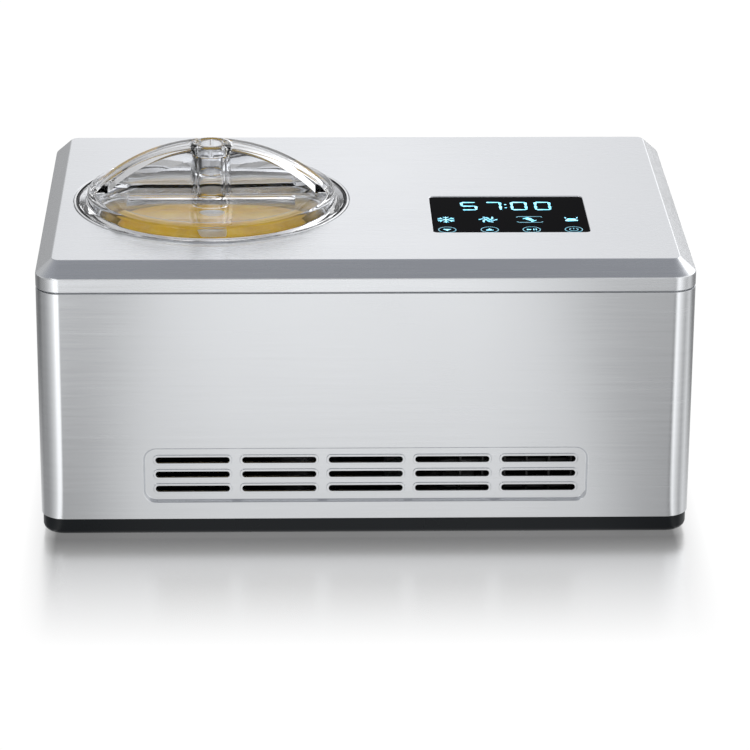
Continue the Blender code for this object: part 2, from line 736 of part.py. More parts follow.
def evaporator_coil():
    """Copper tube wound round the well, both ends led out through the foam."""
    (low_start, low_corner, low_end, _), (_, high_corner, high_end, _) = coil_ends()
    first = math.radians(COIL_LOW_ANGLE)
    last = 2 * math.pi * COIL_TURNS
    rise = high_end.z - low_end.z
    count = COIL_STEPS * COIL_TURNS
    helix = []
    for step in range(count + 1):
        share = step / count
        angle = first + (last - first) * share
        x = WELL_X + COIL_RADIUS * math.cos(angle)
        y = WELL_Y + COIL_RADIUS * math.sin(angle)
        helix.append(Vector((x, y, low_start.z + rise * share)))
    bend = COIL_BEND * 0.85
    lead_in = rounded_route([low_end, low_corner, helix[0]], bend)[:-1]
    lead_out = rounded_route([helix[-1], high_corner, high_end], bend)[1:]
    tube("evaporator_coil", lead_in + helix[1:-1] + lead_out, COIL_TUBE, COPPER, 1)


def insulation_shell():
    """Foam jacket round the well, open at the top, with ways out for the coil and spindle."""
    bore = BEARING_RADIUS + 1.0
    top = WELL_RIM_Z - 4.0
    points = [
        (bore, FOAM_LOW),
        (FOAM_OUTER, FOAM_LOW),
        (FOAM_OUTER, top),
        (FOAM_INNER, top),
        (FOAM_INNER, FOAM_LOW + FOAM_FLOOR),
        (bore, FOAM_LOW + FOAM_FLOOR),
    ]
    shell = turned("insulation_shell", points, (WELL_X, WELL_Y), FOAM, 36)
    ways = bmesh.new()
    for _, corner, _, out in coil_ends():
        way = rod((0, 0, 0), COIL_TUBE + 1.0, -1.0, COIL_STUB, 0, 16)
        turn = Vector((1, 0, 0)).rotation_difference(out).to_matrix().to_4x4()
        bmesh.ops.transform(way, matrix=Matrix.Translation(corner) @ turn, verts=way.verts)
        merged(way, ways)
    cut(shell, "ways", ways)


def bowl():
    """Lift-out steel bowl with a rolled rim and a hollow post that the spindle comes up."""
    post = POST_BORE + BOWL_WALL
    round_in = 8.0
    points = [
        (POST_BORE, BOWL_LOW),
        (BOWL_OUTER - round_in, BOWL_LOW),
        (BOWL_OUTER - 2.3, BOWL_LOW + 2.3),
        (BOWL_OUTER, BOWL_LOW + round_in),
        (BOWL_OUTER, RIM_Z - BOWL_RIM_THICK),
        (RIM_RADIUS, RIM_Z - BOWL_RIM_THICK),
        (RIM_RADIUS, RIM_Z),
        (BOWL_RADIUS, RIM_Z),
        (BOWL_RADIUS, BOWL_FLOOR + round_in - 1.0),
        (BOWL_RADIUS - 2.3, BOWL_FLOOR + 2.1),
        (BOWL_RADIUS - round_in + 1.0, BOWL_FLOOR),
        (post, BOWL_FLOOR),
        (post, POST_TOP),
        (POST_BORE, POST_TOP),
    ]
    turned("bowl", points, (WELL_X, WELL_Y), STEEL, 40)


def paddle_shapes(grow):
    """The paddle's lumps: hub, stem, knob, arms and blades, each made larger by grow."""
    hub_low = PADDLE_LOW - grow
    hub_top = SPINDLE_TOP + 3.0
    hub = POST_BORE + BOWL_WALL + RUN + HUB_WALL
    knob_low = BOWL_FLOOR + BATCH_DEPTH - 3.0
    knob_top = BOWL_FLOOR + BATCH_DEPTH + 7.0
    centre = (WELL_X, WELL_Y, 0.0)
    yield "stem", rod(centre, 7.0 + grow, hub_top - 4.0, knob_low + 1.0 + grow, sides=24)
    yield "knob", rod(centre, 10.0 + grow, knob_low - grow, knob_top + grow, sides=32)
    arm_low = BOWL_FLOOR + BATCH_DEPTH - 24.0
    for name, low, high in (
        ("lower_arm", PADDLE_LOW + 0.6, PADDLE_LOW + 9.0),
        ("upper_arm", arm_low, arm_low + 8.0),
    ):
        reach = PADDLE_REACH - 6.0
        corner = (WELL_X - reach, WELL_Y - 3.5 - grow, low - grow)
        other = (WELL_X + reach, WELL_Y + 3.5 + grow, high + grow)
        yield name, box(corner, other)
    for name, side in (("left_blade", -1), ("right_blade", 1)):
        inner = WELL_X + side * (PADDLE_REACH - 12.0 - grow)
        outer = WELL_X + side * (PADDLE_REACH + grow)
        corner = (min(inner, outer), WELL_Y - 2.5 - grow, PADDLE_LOW + 4.0 - grow)
        other = (max(inner, outer), WELL_Y + 2.5 + grow, arm_low + 14.0 + grow)
        yield name, box(corner, other)
    yield "hub", rod(centre, hub + grow, hub_low, hub_top + grow, sides=40)


def paddle():
    """Dasher that stands on the spindle's square and sweeps the bowl."""
    shapes = dict(paddle_shapes(0.0))
    dasher = part("paddle", shapes.pop("hub"), WHITE)
    for name, shape in shapes.items():
        add(dasher, name, shape)
    centre = (WELL_X, WELL_Y, 0.0)
    bore = POST_BORE + BOWL_WALL + RUN
    cut(dasher, "bore", rod(centre, bore, PADDLE_LOW - 9.0, POST_TOP + RUN, sides=40))
    half = SPINDLE_SQUARE / 2 + FIT
    corner = (WELL_X - half, WELL_Y - half, POST_TOP - 5.0)
    other = (WELL_X + half, WELL_Y + half, SPINDLE_TOP + RUN)
    cut(dasher, "socket", box(corner, other))
    dasher.data.set_sharp_from_angle(angle=math.radians(30))


def ice_cream():
    """The frozen batch round the paddle, clear of the bowl's wall."""
    low = BOWL_FLOOR + 1.6
    top = BOWL_FLOOR + BATCH_DEPTH
    radius = BOWL_RADIUS - 2.4
    points = [
        (0.0, low),
        (radius - 7.0, low),
        (radius - 2.0, low + 2.0),
        (radius, low + 7.0),
        (radius, top - 6.0),
        (radius - 8.0, top - 4.0),
        (radius - 22.0, top + 1.0),
        (26.0, top - 3.0),
        (0.0, top - 5.0),
    ]
    batch = turned("ice_cream", points, (WELL_X, WELL_Y), CREAM, 32)
    for name, shape in paddle_shapes(RUN):
        cut(batch, name, shape)


def lid_arc(reach, base, top, steps=16):
    """Corners of a handle seen from the front: a flat foot and one arc over it."""
    rise = top - base
    radius = (reach * reach + rise * rise) / (2 * rise)
    sweep = math.asin(reach / radius)
    points = []
    for step in range(steps + 1):
        angle = sweep - 2 * sweep * step / steps
        points.append((radius * math.sin(angle), top - radius + radius * math.cos(angle)))
    return points


def lid():
    """Clear lid: a flange on the collar, a raised floor, a bridge handle and the filler tube."""
    flange_low = TOP_Z - 2.3 + FIT
    flange_out = GASKET_INNER - FIT
    wall = COLLAR_INNER + 1.5
    skirt = COLLAR_INNER - RUN
    under = LID_FLOOR - LID_WALL
    points = [
        (0.0, LID_FLOOR),
        (wall - 1.5, LID_FLOOR),
        (wall, LID_FLOOR - 1.5),
        (wall + 0.8, TOP_Z + 0.5),
        (flange_out, TOP_Z + 0.5),
        (flange_out, flange_low),
        (skirt, flange_low),
        (skirt, flange_low - LID_SKIRT),
        (skirt - LID_WALL, flange_low - LID_SKIRT),
        (skirt - LID_WALL, under),
        (0.0, under),
    ]
    cover = turned("lid", points, (WELL_X, WELL_Y), CLEAR, 40)
    handle = plate_mesh([lid_arc(BRIDGE_END, 0.0, BRIDGE_TOP - LID_RISE)], -0.5, 0.5)
    bmesh.ops.scale(handle, vec=(1.0, 1.0, BRIDGE_WIDTH), verts=handle.verts)
    bmesh.ops.rotate(handle, matrix=Matrix.Rotation(math.pi / 2, 3, "X"), verts=handle.verts)
    place = (WELL_X, WELL_Y, LID_FLOOR - 0.5)
    bmesh.ops.translate(handle, vec=place, verts=handle.verts)
    add(cover, "bridge", handle)
    centre = (WELL_X, WELL_Y, 0.0)
    ring_low = TOP_Z + 39.5 - STOPPER_RING
    tube_top = ring_low - FIT
    add(cover, "tube", rod(centre, TUBE_RADIUS, under - TUBE_DROP, tube_top, sides=40))
    hollow_reach = BRIDGE_END - 7.0
    hollow = plate_mesh([lid_arc(hollow_reach, 0.0, BRIDGE_TOP - LID_RISE - 3.0)], -0.5, 0.5)
    wide = BRIDGE_WIDTH - 2 * LID_WALL
    bmesh.ops.scale(hollow, vec=(1.0, 1.0, wide), verts=hollow.verts)
    bmesh.ops.rotate(hollow, matrix=Matrix.Rotation(math.pi / 2, 3, "X"), verts=hollow.verts)
    bmesh.ops.translate(hollow, vec=(WELL_X, WELL_Y, LID_FLOOR - 3.0), verts=hollow.verts)
    room = helper("lid_room", hollow)
    keep = rod(centre, TUBE_RADIUS, under - TUBE_DROP - 5.0, LID_FLOOR + 60.0, sides=40)
    combine(room, helper("lid_room_keep", keep), "DIFFERENCE")
    combine(cover, room, "DIFFERENCE")
    bore = rod(centre, TUBE_BORE, under - TUBE_DROP - 5.0, LID_FLOOR + 60.0, sides=32)
    cut(cover, "bore", bore)
    cut(cover, "ring_seat", rod(centre, STOPPER_RADIUS + RUN, tube_top, LID_FLOOR + 60.0))


def lid_seal():
    """Soft ring under the lid's skirt, on the bowl's rim: the lid turns on it."""
    skirt = COLLAR_INNER - RUN
    top = TOP_Z - 2.3 + FIT - LID_SKIRT - FIT
    low = RIM_Z + FIT
    points = [
        (skirt - LID_WALL - 1.5, low),
        (skirt - LID_WALL - 1.5, top),
        (skirt - 0.4, top),
        (skirt - 0.4, low),
    ]
    turned("lid_seal", points, (WELL_X, WELL_Y), SILICONE, 40)


def filler_stopper():
    """Hollow clear stopper in the filler tube, with a chamfered finger ring."""
    top = TOP_Z + 39.5
    ring_low = top - STOPPER_RING
    body = TUBE_BORE - FIT
    low = top - STOPPER_REACH
    points = [
        (0.0, low),
        (body, low),
        (body, ring_low),
        (STOPPER_RADIUS - 0.8, ring_low),
        (STOPPER_RADIUS, ring_low + 1.2),
        (STOPPER_RADIUS, top - 1.6),
        (STOPPER_RADIUS - 1.4, top),
        (body - STOPPER_WALL + 0.8, top),
        (body - STOPPER_WALL, top - 1.2),
        (body - STOPPER_WALL, low + STOPPER_WALL),
        (0.0, low + STOPPER_WALL),
    ]
    turned("filler_stopper", points, (WELL_X, WELL_Y), CLEAR, 28)


def spindle():
    """Upright drive shaft with a square top, and the wheel fixed on it."""
    centre = (WELL_X, WELL_Y, 0.0)
    low = GEARBOX_LOW + GEARBOX_WALL + FIT
    shaft = part("spindle", rod(centre, SPINDLE_RADIUS, low, POST_TOP - 3.0, sides=24), ZINC)
    half = SPINDLE_SQUARE / 2
    corner = (WELL_X - half, WELL_Y - half, POST_TOP - 8.0)
    other = (WELL_X + half, WELL_Y + half, SPINDLE_TOP)
    add(shaft, "square", box(corner, other))
    outline = gear_outline(OUTPUT_TEETH, centre, math.pi / OUTPUT_TEETH)
    bore = ring_outline(centre, SPINDLE_RADIUS + FIT)
    high = OUTPUT_LOW + GEAR_THICK
    part("output_gear", plate_mesh([outline, bore], OUTPUT_LOW, high), WHITE, False)


def spindle_bearing():
    """Long sleeve through the foam and the well's floor, and the lip seal above it."""
    bore = SPINDLE_RADIUS + FIT
    split = WELL_LOW + 12.0
    for name, low, high, finish in (
        ("spindle_bearing", GEARBOX_TOP + 1.0, split, ALLOY),
        ("shaft_seal", split + FIT, split + 4.5, RUBBER),
    ):
        points = [(bore, low), (bore, high), (BEARING_RADIUS, high), (BEARING_RADIUS, low)]
        turned(name, points, (WELL_X, WELL_Y), finish, 24)


def gearbox_block(inset, low, high, radius):
    x_low = WELL_X - GEAR_MODULE * OUTPUT_TEETH / 2 - 4.5 + inset
    x_high = MOTOR_X + 12.0 - inset
    y = GEAR_MODULE * OUTPUT_TEETH / 2 + 4.5 - inset
    return box((x_low, WELL_Y - y, low), (x_high, WELL_Y + y, high), radius)


def gearbox():
    """Open box that holds the wheels, and the lid that closes it."""
    lid_low = GEARBOX_TOP - GEARBOX_WALL
    case = part("gearbox_housing", gearbox_block(0.0, GEARBOX_LOW, lid_low - FIT, 6.0), ALLOY)
    inner = gearbox_block(GEARBOX_WALL, GEARBOX_LOW + GEARBOX_WALL, lid_low + 9.0, 4.0)
    cut(case, "inside", inner)
    motor = (MOTOR_X, WELL_Y, 0.0)
    cut(case, "shaft_hole", rod(motor, 3.0, GEARBOX_LOW - 5.0, GEARBOX_LOW + 5.0, sides=20))
    top = part("gearbox_cover", gearbox_block(0.0, lid_low, GEARBOX_TOP, 6.0), ALLOY)
    hole = rod((WELL_X, WELL_Y, 0), SPINDLE_RADIUS + RUN, lid_low - 5.0, GEARBOX_TOP + 5.0)
    cut(top, "hole", hole)


def intermediate_gear():
    """Compound wheel on its own axle between the motor and the output wheel."""
    centre = (WHEEL_X, WELL_Y, 0.0)
    bore = 2.0 + FIT
    wheel_top = WHEEL_LOW + GEAR_THICK
    wheel = gear_outline(WHEEL_TEETH, centre, 0.0)
    shape = plate_mesh([wheel, ring_outline(centre, bore, 16)], WHEEL_LOW, wheel_top)
    gear = part("intermediate_gear", shape, WHITE, False)
    pinion = gear_outline(PINION_TEETH, centre, math.pi)
    pinion_top = OUTPUT_LOW + GEAR_THICK + 0.5
    small = plate_mesh([pinion, ring_outline(centre, bore, 16)], wheel_top - 0.5, pinion_top)
    add(gear, "pinion", small)
    axle = rod(centre, 2.0, GEARBOX_LOW + GEARBOX_WALL + FIT, GEARBOX_TOP - GEARBOX_WALL - FIT)
    part("gear_axle", axle, ZINC)


def drive_motor():
    """Motor can under the gearbox, and the rotor shaft with its pinion."""
    centre = (MOTOR_X, WELL_Y, 0.0)
    can_top = MOTOR_LOW + MOTOR_HEIGHT
    can = part("motor_can", rod(centre, MOTOR_RADIUS, MOTOR_LOW, can_top, sides=36), ZINC)
    cut(can, "bore", rod(centre, 2.0 + RUN, MOTOR_LOW + 4.0, can_top + 5.0, sides=20))
    outline = gear_outline(PINION_TEETH, centre, math.pi + math.pi / PINION_TEETH)
    high = WHEEL_LOW + GEAR_THICK + 0.3
    pinion = part("motor_pinion", plate_mesh([outline], WHEEL_LOW - 0.8, high), ZINC, False)
    add(pinion, "shaft", rod(centre, 2.0, MOTOR_LOW + 5.0, WHEEL_LOW + 0.5, sides=20))


def compressor():
    """Welded shell on a plate, which stands on rubber grommets."""
    centre = (COMPRESSOR_X, COMPRESSOR_Y)
    radius = COMPRESSOR_RADIUS
    plate_low = FLOOR_Z + 10.5
    plate_top = plate_low + 3.0
    low = plate_top + FIT
    top = low + COMPRESSOR_HEIGHT
    seam = low + 0.46 * COMPRESSOR_HEIGHT
    points = [(0.0, low), (radius * 0.72, low), (radius * 0.93, low + 5.0), (radius, low + 14.0)]
    points += [(radius, seam), (radius + 2.0, seam), (radius + 2.0, seam + 3.0)]
    points += [(radius - 1.0, seam + 3.0)]
    dome = radius - 1.0
    for degrees in range(0, 91, 18):
        angle = math.radians(degrees)
        height = top - 30.0 + 30.0 * math.sin(angle)
        points.append((0.0 if degrees == 90 else dome * math.cos(angle), height))
    turned("compressor_shell", points, centre, PAINT, 24)
    reach = radius + 3.0
    low_corner = (centre[0] - reach, centre[1] - reach, plate_low)
    high_corner = (centre[0] + reach, centre[1] + reach, plate_top)
    plate = part("compressor_plate", box(low_corner, high_corner, 8.0), ZINC)
    holes = bmesh.new()
    for x, y in grommet_places():
        rod((x, y, 0), 6.0 + FIT, plate_low - 5.0, plate_top + 5.0, sides=20, bm=holes)
    cut(plate, "holes", holes)
    for number, (x, y) in enumerate(grommet_places(), 1):
        points = [
            (3.0, FLOOR_Z + FIT),
            (9.0, FLOOR_Z + FIT),
            (9.0, plate_low - FIT),
            (6.0, plate_low - FIT),
            (6.0, plate_top + FIT),
            (9.0, plate_top + FIT),
            (9.0, plate_top + 3.0),
            (3.0, plate_top + 3.0),
        ]
        turned(f"grommet_{number}", points, (x, y), RUBBER, 12)


def grommet_places():
    reach = COMPRESSOR_RADIUS - 8.0
    for sign_x in (-1, 1):
        for sign_y in (-1, 1):
            yield COMPRESSOR_X + sign_x * reach, COMPRESSOR_Y + sign_y * reach


def condenser_runs():
    """The serpentine's corners: in at the upper left, across and back, out at the lower right."""
    half = RUN_PITCH / 2
    points = [Vector((RUN_LEFT - 6.0, PIPE_Y + 17.0, RUN_HIGH))]
    points += rounded_route(
        [points[0], (RUN_LEFT - 6.0, PIPE_Y, RUN_HIGH), (RUN_RIGHT, PIPE_Y, RUN_HIGH)], 8.0
    )[1:-1]
    for run in range(RUN_COUNT - 1):
        side = RUN_RIGHT if run % 2 == 0 else RUN_LEFT
        sign = 1 if run % 2 == 0 else -1
        middle = RUN_HIGH - run * RUN_PITCH - half
        for step in range(7):
            angle = math.pi / 2 - math.pi * step / 6
            x = side + sign * half * math.cos(angle)
            points.append(Vector((x, PIPE_Y, middle + half * math.sin(angle))))
    last = [points[-1], (RUN_RIGHT + 2.0, PIPE_Y, RUN_LOW), (RUN_RIGHT + 2.0, PIPE_Y + 17.0, RUN_LOW)]
    points += rounded_route(last, 8.0)[1:]
    return points


def condenser():
    """Fins with notches in their back edges, and the tube that lies in the notches."""
    tube("condenser_tube", condenser_runs(), PIPE_RADIUS, PAINT)
    left = RUN_LEFT + 6.0
    right = RUN_RIGHT - 6.0
    low = FLOOR_Z + 2.5
    high = low + CONDENSER_HEIGHT
    front = CONDENSER_BACK - CONDENSER_DEPTH
    pitch = (right - left - FIN_THICK) / (FIN_COUNT - 1)
    plates = bmesh.new()
    for number in range(FIN_COUNT):
        x = left + number * pitch
        box((x, front, low), (x + FIN_THICK, CONDENSER_BACK, high), bm=plates)
    bar = box((left + 0.2, front + 2.0, low + 3.0), (right - 0.2, front + 6.0, low + 7.0))
    fins = part("condenser_fins", bar, ALLOY, False)
    for name, bar_low in (("middle_bar", low + 43.0), ("top_bar", high - 7.0)):
        corner = (left + 0.2, front + 2.0, bar_low)
        other = (right - 0.2, front + 6.0, bar_low + 4.0)
        merged(box(corner, other), plates)
    add(fins, "plates", plates)
    notches = bmesh.new()
    for run in range(RUN_COUNT):
        z = RUN_LOW + run * RUN_PITCH
        reach = PIPE_RADIUS + 1.0
        corner = (left - 9.0, PIPE_Y - reach, z - reach)
        box(corner, (right + 9.0, CONDENSER_BACK + 9.0, z + reach), bm=notches)
    cut(fins, "notches", notches)


def fan():
    """Square fan frame with a motor on three arms, and the rotor in it."""
    back = FAN_FRONT + FAN_DEPTH
    half = FAN_SIDE / 2
    centre = (FAN_X, 0, FAN_Z)
    corner = (FAN_X - half, FAN_FRONT, FAN_Z - half)
    frame = part("fan_frame", box(corner, (FAN_X + half, back, FAN_Z + half), 5.0, 1), BLACK)
    cut(frame, "hole", rod(centre, half - 3.0, FAN_FRONT - 5.0, back + 5.0, 1, 40))
    add(frame, "motor", rod(centre, 16.0, back - 5.0, back, 1, 24))
    for number in range(3):
        arm = box((-2.0, back - 4.0, 10.0), (2.0, back, half - 1.0))
        turn = Matrix.Translation(centre) @ Matrix.Rotation(math.radians(120 * number), 4, "Y")
        bmesh.ops.transform(arm, matrix=turn, verts=arm.verts)
        add(frame, f"arm_{number}", arm)
    hub = rod(centre, 16.0, FAN_FRONT + 2.0, back - 5.0 - RUN, 1, 24)
    rotor = part("fan_rotor", hub, BLACK)
    middle = (FAN_FRONT + back - 5.0) / 2
    blades = bmesh.new()
    for number in range(FAN_BLADES):
        blade = box((-9.0, -0.8, 14.0), (9.0, 0.8, half - 6.0))
        pitch = Matrix.Rotation(math.radians(32), 4, "Z")
        turn = Matrix.Rotation(2 * math.pi * number / FAN_BLADES, 4, "Y")
        place = Matrix.Translation((FAN_X, middle, FAN_Z)) @ turn @ pitch
        bmesh.ops.transform(blade, matrix=place, verts=blade.verts)
        merged(blade, blades)
    add(rotor, "blades", blades)


def pipes():
    """The lines between compressor, condenser, drier, capillary and evaporator."""
    shell_x = COMPRESSOR_X - COMPRESSOR_RADIUS
    discharge = [
        (shell_x - FIT, COMPRESSOR_Y, RUN_HIGH),
        (RUN_LEFT - 6.0, COMPRESSOR_Y, RUN_HIGH),
        (RUN_LEFT - 6.0, PIPE_Y + 17.0 + FIT, RUN_HIGH),
    ]
    tube("discharge_line", rounded_route(discharge, 12.0), PIPE_RADIUS, COPPER)
    (_, _, low_end, low_out), (_, _, high_end, high_out) = coil_ends()
    turn_x = shell_x - 18.0
    to_line = (COMPRESSOR_Y - low_end.y) / low_out.y
    to_turn = (turn_x - 6.0 - low_end.x) / low_out.x
    suction_z = FLOOR_Z + 45.0
    suction = [
        low_end + low_out * FIT,
        low_end + low_out * min(to_line, to_turn),
        (turn_x, COMPRESSOR_Y, suction_z),
        (shell_x - FIT, COMPRESSOR_Y, suction_z),
    ]
    tube("suction_line", rounded_route(suction, 10.0), PIPE_RADIUS, COPPER)
    drier_x = RUN_RIGHT + 2.0
    start = PIPE_Y + 17.0 + FIT
    points = [(0.0, 0.0), (3.0, 0.0), (3.0, 8.0), (8.5, 14.0), (8.5, 58.0), (2.5, 64.0)]
    points += [(2.5, 70.0), (0.0, 70.0)]
    drier = turned("filter_drier", points, (0.0, 0.0), COPPER, 16)
    drier.location = (drier_x * MM, start * MM, RUN_LOW * MM)
    drier.rotation_euler = (-math.pi / 2, 0.0, 0.0)
    capillary = [
        high_end + high_out * FIT,
        (drier_x, high_end.y, high_end.z),
        (drier_x, high_end.y, RUN_LOW),
        (drier_x, start + 70.0 + FIT, RUN_LOW),
    ]
    tube("capillary", rounded_route(capillary, 6.0), 1.5, COPPER)


def power_board():
    """Circuit board with its parts, upright on a bent bracket."""
    x = WELL_X + FOAM_OUTER + 12.0
    y_low = WELL_Y - 55.0
    y_high = WELL_Y + 35.0
    bracket = box((x, y_low, FLOOR_Z + FIT), (x + 1.5, y_high, FLOOR_Z + 130.0))
    holder = part("board_bracket", bracket, ZINC)
    foot = box((x + 0.5, y_low, FLOOR_Z + FIT), (x + 22.0, y_high, FLOOR_Z + FIT + 1.5))
    add(holder, "foot", foot)
    board_x = x + 1.5 + FIT
    low = (board_x, y_low + 4.0, FLOOR_Z + 60.0)
    high = (board_x + BOARD_THICK + 2.0, y_high - 4.0, FLOOR_Z + 126.0)
    board = part("power_board", box(low, high), BOARD)
    chips = bmesh.new()
    face = board_x + BOARD_THICK
    box((face, y_low + 8.0, FLOOR_Z + 66.0), (face + 24.0, y_low + 38.0, FLOOR_Z + 96.0), bm=chips)
    box((face, y_low + 46.0, FLOOR_Z + 66.0), (face + 16.0, y_low + 74.0, FLOOR_Z + 82.0), bm=chips)
    for number in range(2):
        spot = (0, y_low + 50.0 + 18.0 * number, FLOOR_Z + 104.0)
        rod(spot, 6.5, face, face + 20.0, 0, 20, bm=chips)
    add(board, "parts", chips)


def build():
    start_scene()
    base_tray()
    feet()
    base_screws()
    housing_wrap()
    rear_panel()
    rear_screws()
    cord_gland()
    top_cover()
    display()
    well_collar()
    freezer_well()
    evaporator_coil()
    insulation_shell()
    bowl()
    paddle()
    ice_cream()
    lid()
    lid_seal()
    filler_stopper()
    spindle()
    spindle_bearing()
    gearbox()
    intermediate_gear()
    drive_motor()
    compressor()
    condenser()
    fan()
    pipes()
    power_board()


build()
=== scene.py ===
"""Looks of a steel compressor ice cream maker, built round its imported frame: brushed case with
a pressed grille, chamfered cover with a black touch window, clear bridge lid over the bowl of
frozen cream, dark base, rear panel and feet. Lengths are metres; +X is the machine's right,
+Y its back and +Z up, and the origin is on the table under its middle."""

import math
from contextlib import contextmanager

import bmesh
import bpy
from bpy.props import FloatProperty, FloatVectorProperty, PointerProperty
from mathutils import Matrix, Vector, noise


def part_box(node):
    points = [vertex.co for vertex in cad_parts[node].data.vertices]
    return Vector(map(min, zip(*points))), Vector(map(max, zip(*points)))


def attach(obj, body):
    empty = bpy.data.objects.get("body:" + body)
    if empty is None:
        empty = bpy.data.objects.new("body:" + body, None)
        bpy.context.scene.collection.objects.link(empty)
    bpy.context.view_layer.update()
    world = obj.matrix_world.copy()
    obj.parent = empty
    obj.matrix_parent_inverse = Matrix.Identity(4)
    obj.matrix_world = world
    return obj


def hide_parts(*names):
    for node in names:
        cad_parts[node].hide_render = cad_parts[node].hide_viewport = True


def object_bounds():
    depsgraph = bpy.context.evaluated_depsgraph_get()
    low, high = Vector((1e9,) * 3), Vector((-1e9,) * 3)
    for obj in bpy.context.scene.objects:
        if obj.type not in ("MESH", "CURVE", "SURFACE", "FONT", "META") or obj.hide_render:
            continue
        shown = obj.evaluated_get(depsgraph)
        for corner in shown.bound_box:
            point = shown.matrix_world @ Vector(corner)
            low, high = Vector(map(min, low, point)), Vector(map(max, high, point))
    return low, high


bl_info = {
    "name": "Ice cream maker",
    "version": (1, 0, 0),
    "blender": (4, 5, 0),
    "location": "View3D > Sidebar > Ice cream maker",
    "description": "Models the case, window, lid, bowl and stage of a compressor ice cream maker",
    "category": "Mesh",
}

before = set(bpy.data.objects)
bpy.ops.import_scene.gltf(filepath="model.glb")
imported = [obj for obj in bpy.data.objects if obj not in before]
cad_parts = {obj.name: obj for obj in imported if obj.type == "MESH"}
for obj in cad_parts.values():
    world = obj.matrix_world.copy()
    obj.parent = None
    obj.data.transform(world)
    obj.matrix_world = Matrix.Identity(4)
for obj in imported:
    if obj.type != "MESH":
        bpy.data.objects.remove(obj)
CAD_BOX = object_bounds()
bpy.ops.object.select_all(action="DESELECT")

MM = 0.001
UP = Vector((0.0, 0.0, 1.0))
WRAP_LOW, WRAP_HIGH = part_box("housing_wrap")
COVER_LOW, COVER_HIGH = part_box("top_cover")
BASE_LOW, BASE_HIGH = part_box("base_tray")
BOWL_LOW, BOWL_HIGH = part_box("bowl")
WINDOW_LOW, WINDOW_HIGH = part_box("display_window")
REAR_LOW, REAR_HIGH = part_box("rear_panel")
WELL = (BOWL_LOW + BOWL_HIGH) / 2
TOP = COVER_HIGH.z


# Modelling helpers


def only(piece):
    bpy.ops.object.select_all(action="DESELECT")
    piece.select_set(True)
    bpy.context.view_layer.objects.active = piece


@contextmanager
def editing(piece):
    only(piece)
    bpy.ops.object.mode_set(mode="EDIT")
    yield
    bpy.ops.object.mode_set(mode="OBJECT")


def select_everything():
    bpy.ops.mesh.select_all(action="SELECT")


def pick(kind, test):
    """Select the points, edges or faces of the piece being edited that pass a test."""
    mesh = bpy.context.edit_object.data
    bpy.ops.mesh.select_mode(type=kind)
    bpy.ops.mesh.select_all(action="DESELECT")
    shape = bmesh.from_edit_mesh(mesh)
    for item in {"VERT": shape.verts, "EDGE": shape.edges, "FACE": shape.faces}[kind]:
        if test(item):
            item.select_set(True)
    bmesh.update_edit_mesh(mesh)


def named(name):
    piece = bpy.context.object
    piece.name = name
    piece.data.name = name
    return piece


def apply_place(piece):
    only(piece)
    bpy.ops.object.transform_apply(location=True, rotation=True, scale=True)


def block(name, low, high):
    low = Vector(low)
    high = Vector(high)
    bpy.ops.mesh.primitive_cube_add(size=1.0, location=(low + high) / 2)
    piece = named(name)
    piece.scale = high - low
    apply_place(piece)
    return piece


def along(edge, axis):
    return abs((edge.verts[1].co - edge.verts[0].co).normalized()[axis]) > 0.99


def rounded_block(name, low, high, radius, axis=2, segments=10):
    piece = block(name, low, high)
    with editing(piece):
        pick("EDGE", lambda edge: along(edge, axis))
        bpy.ops.mesh.bevel(offset=radius, segments=segments, affect="EDGES")
    return piece


def cylinder(name, centre, radius, low, high, axis=2, sides=64):
    """A closed rod from low to high along an axis, through a centre."""
    place = Vector(centre)
    place[axis] = (low + high) / 2
    turn = {0: (0, math.pi / 2, 0), 1: (math.pi / 2, 0, 0), 2: (0, 0, 0)}[axis]
    bpy.ops.mesh.primitive_cylinder_add(
        vertices=sides, radius=radius, depth=high - low, location=place, rotation=turn
    )
    piece = named(name)
    apply_place(piece)
    return piece


def turned(name, centre, profile, steps=96, closed=True):
    """Draw a profile of (radius, height) corners in millimetres and spin it about an axis."""
    bpy.ops.mesh.primitive_plane_add(size=MM, location=(0, 0, 0))
    piece = named(name)
    points = [Vector((centre[0] + r * MM, centre[1], height * MM)) for r, height in profile]
    if closed:
        points.append(points[0])
    with editing(piece):
        bpy.ops.mesh.select_mode(type="VERT")
        select_everything()
        bpy.ops.mesh.merge(type="CENTER")
        bpy.ops.transform.translate(value=points[0])
        for start, end in zip(points, points[1:]):
            bpy.ops.mesh.extrude_vertices_move(TRANSFORM_OT_translate={"value": end - start})
        select_everything()
        spindle = (centre[0], centre[1], 0.0)
        bpy.ops.mesh.spin(steps=steps, angle=2 * math.pi, center=spindle, axis=UP)
        select_everything()
        bpy.ops.mesh.remove_doubles(threshold=MM / 100)
        bpy.ops.mesh.normals_make_consistent(inside=False)
    return piece


def apply_modifier(piece, kind, **values):
    modifier = piece.modifiers.new(kind.lower(), kind)
    for key, value in values.items():
        setattr(modifier, key, value)
    only(piece)
    bpy.ops.object.modifier_apply(modifier=modifier.name)


def combine(piece, other, operation):
    apply_modifier(piece, "BOOLEAN", object=other, operation=operation, solver="EXACT")
    bpy.data.objects.remove(other)


def cut(piece, *others):
    for other in others:
        combine(piece, other, "DIFFERENCE")


def add(piece, *others):
    for other in others:
        combine(piece, other, "UNION")


def copied(piece, shift):
    copy = piece.copy()
    copy.data = piece.data.copy()
    bpy.context.scene.collection.objects.link(copy)
    copy.location = shift
    apply_place(copy)
    return copy


def joined(name, pieces):
    bpy.ops.object.select_all(action="DESELECT")
    for piece in pieces:
        piece.select_set(True)
    bpy.context.view_layer.objects.active = pieces[0]
    bpy.ops.object.join()
    return named(name)


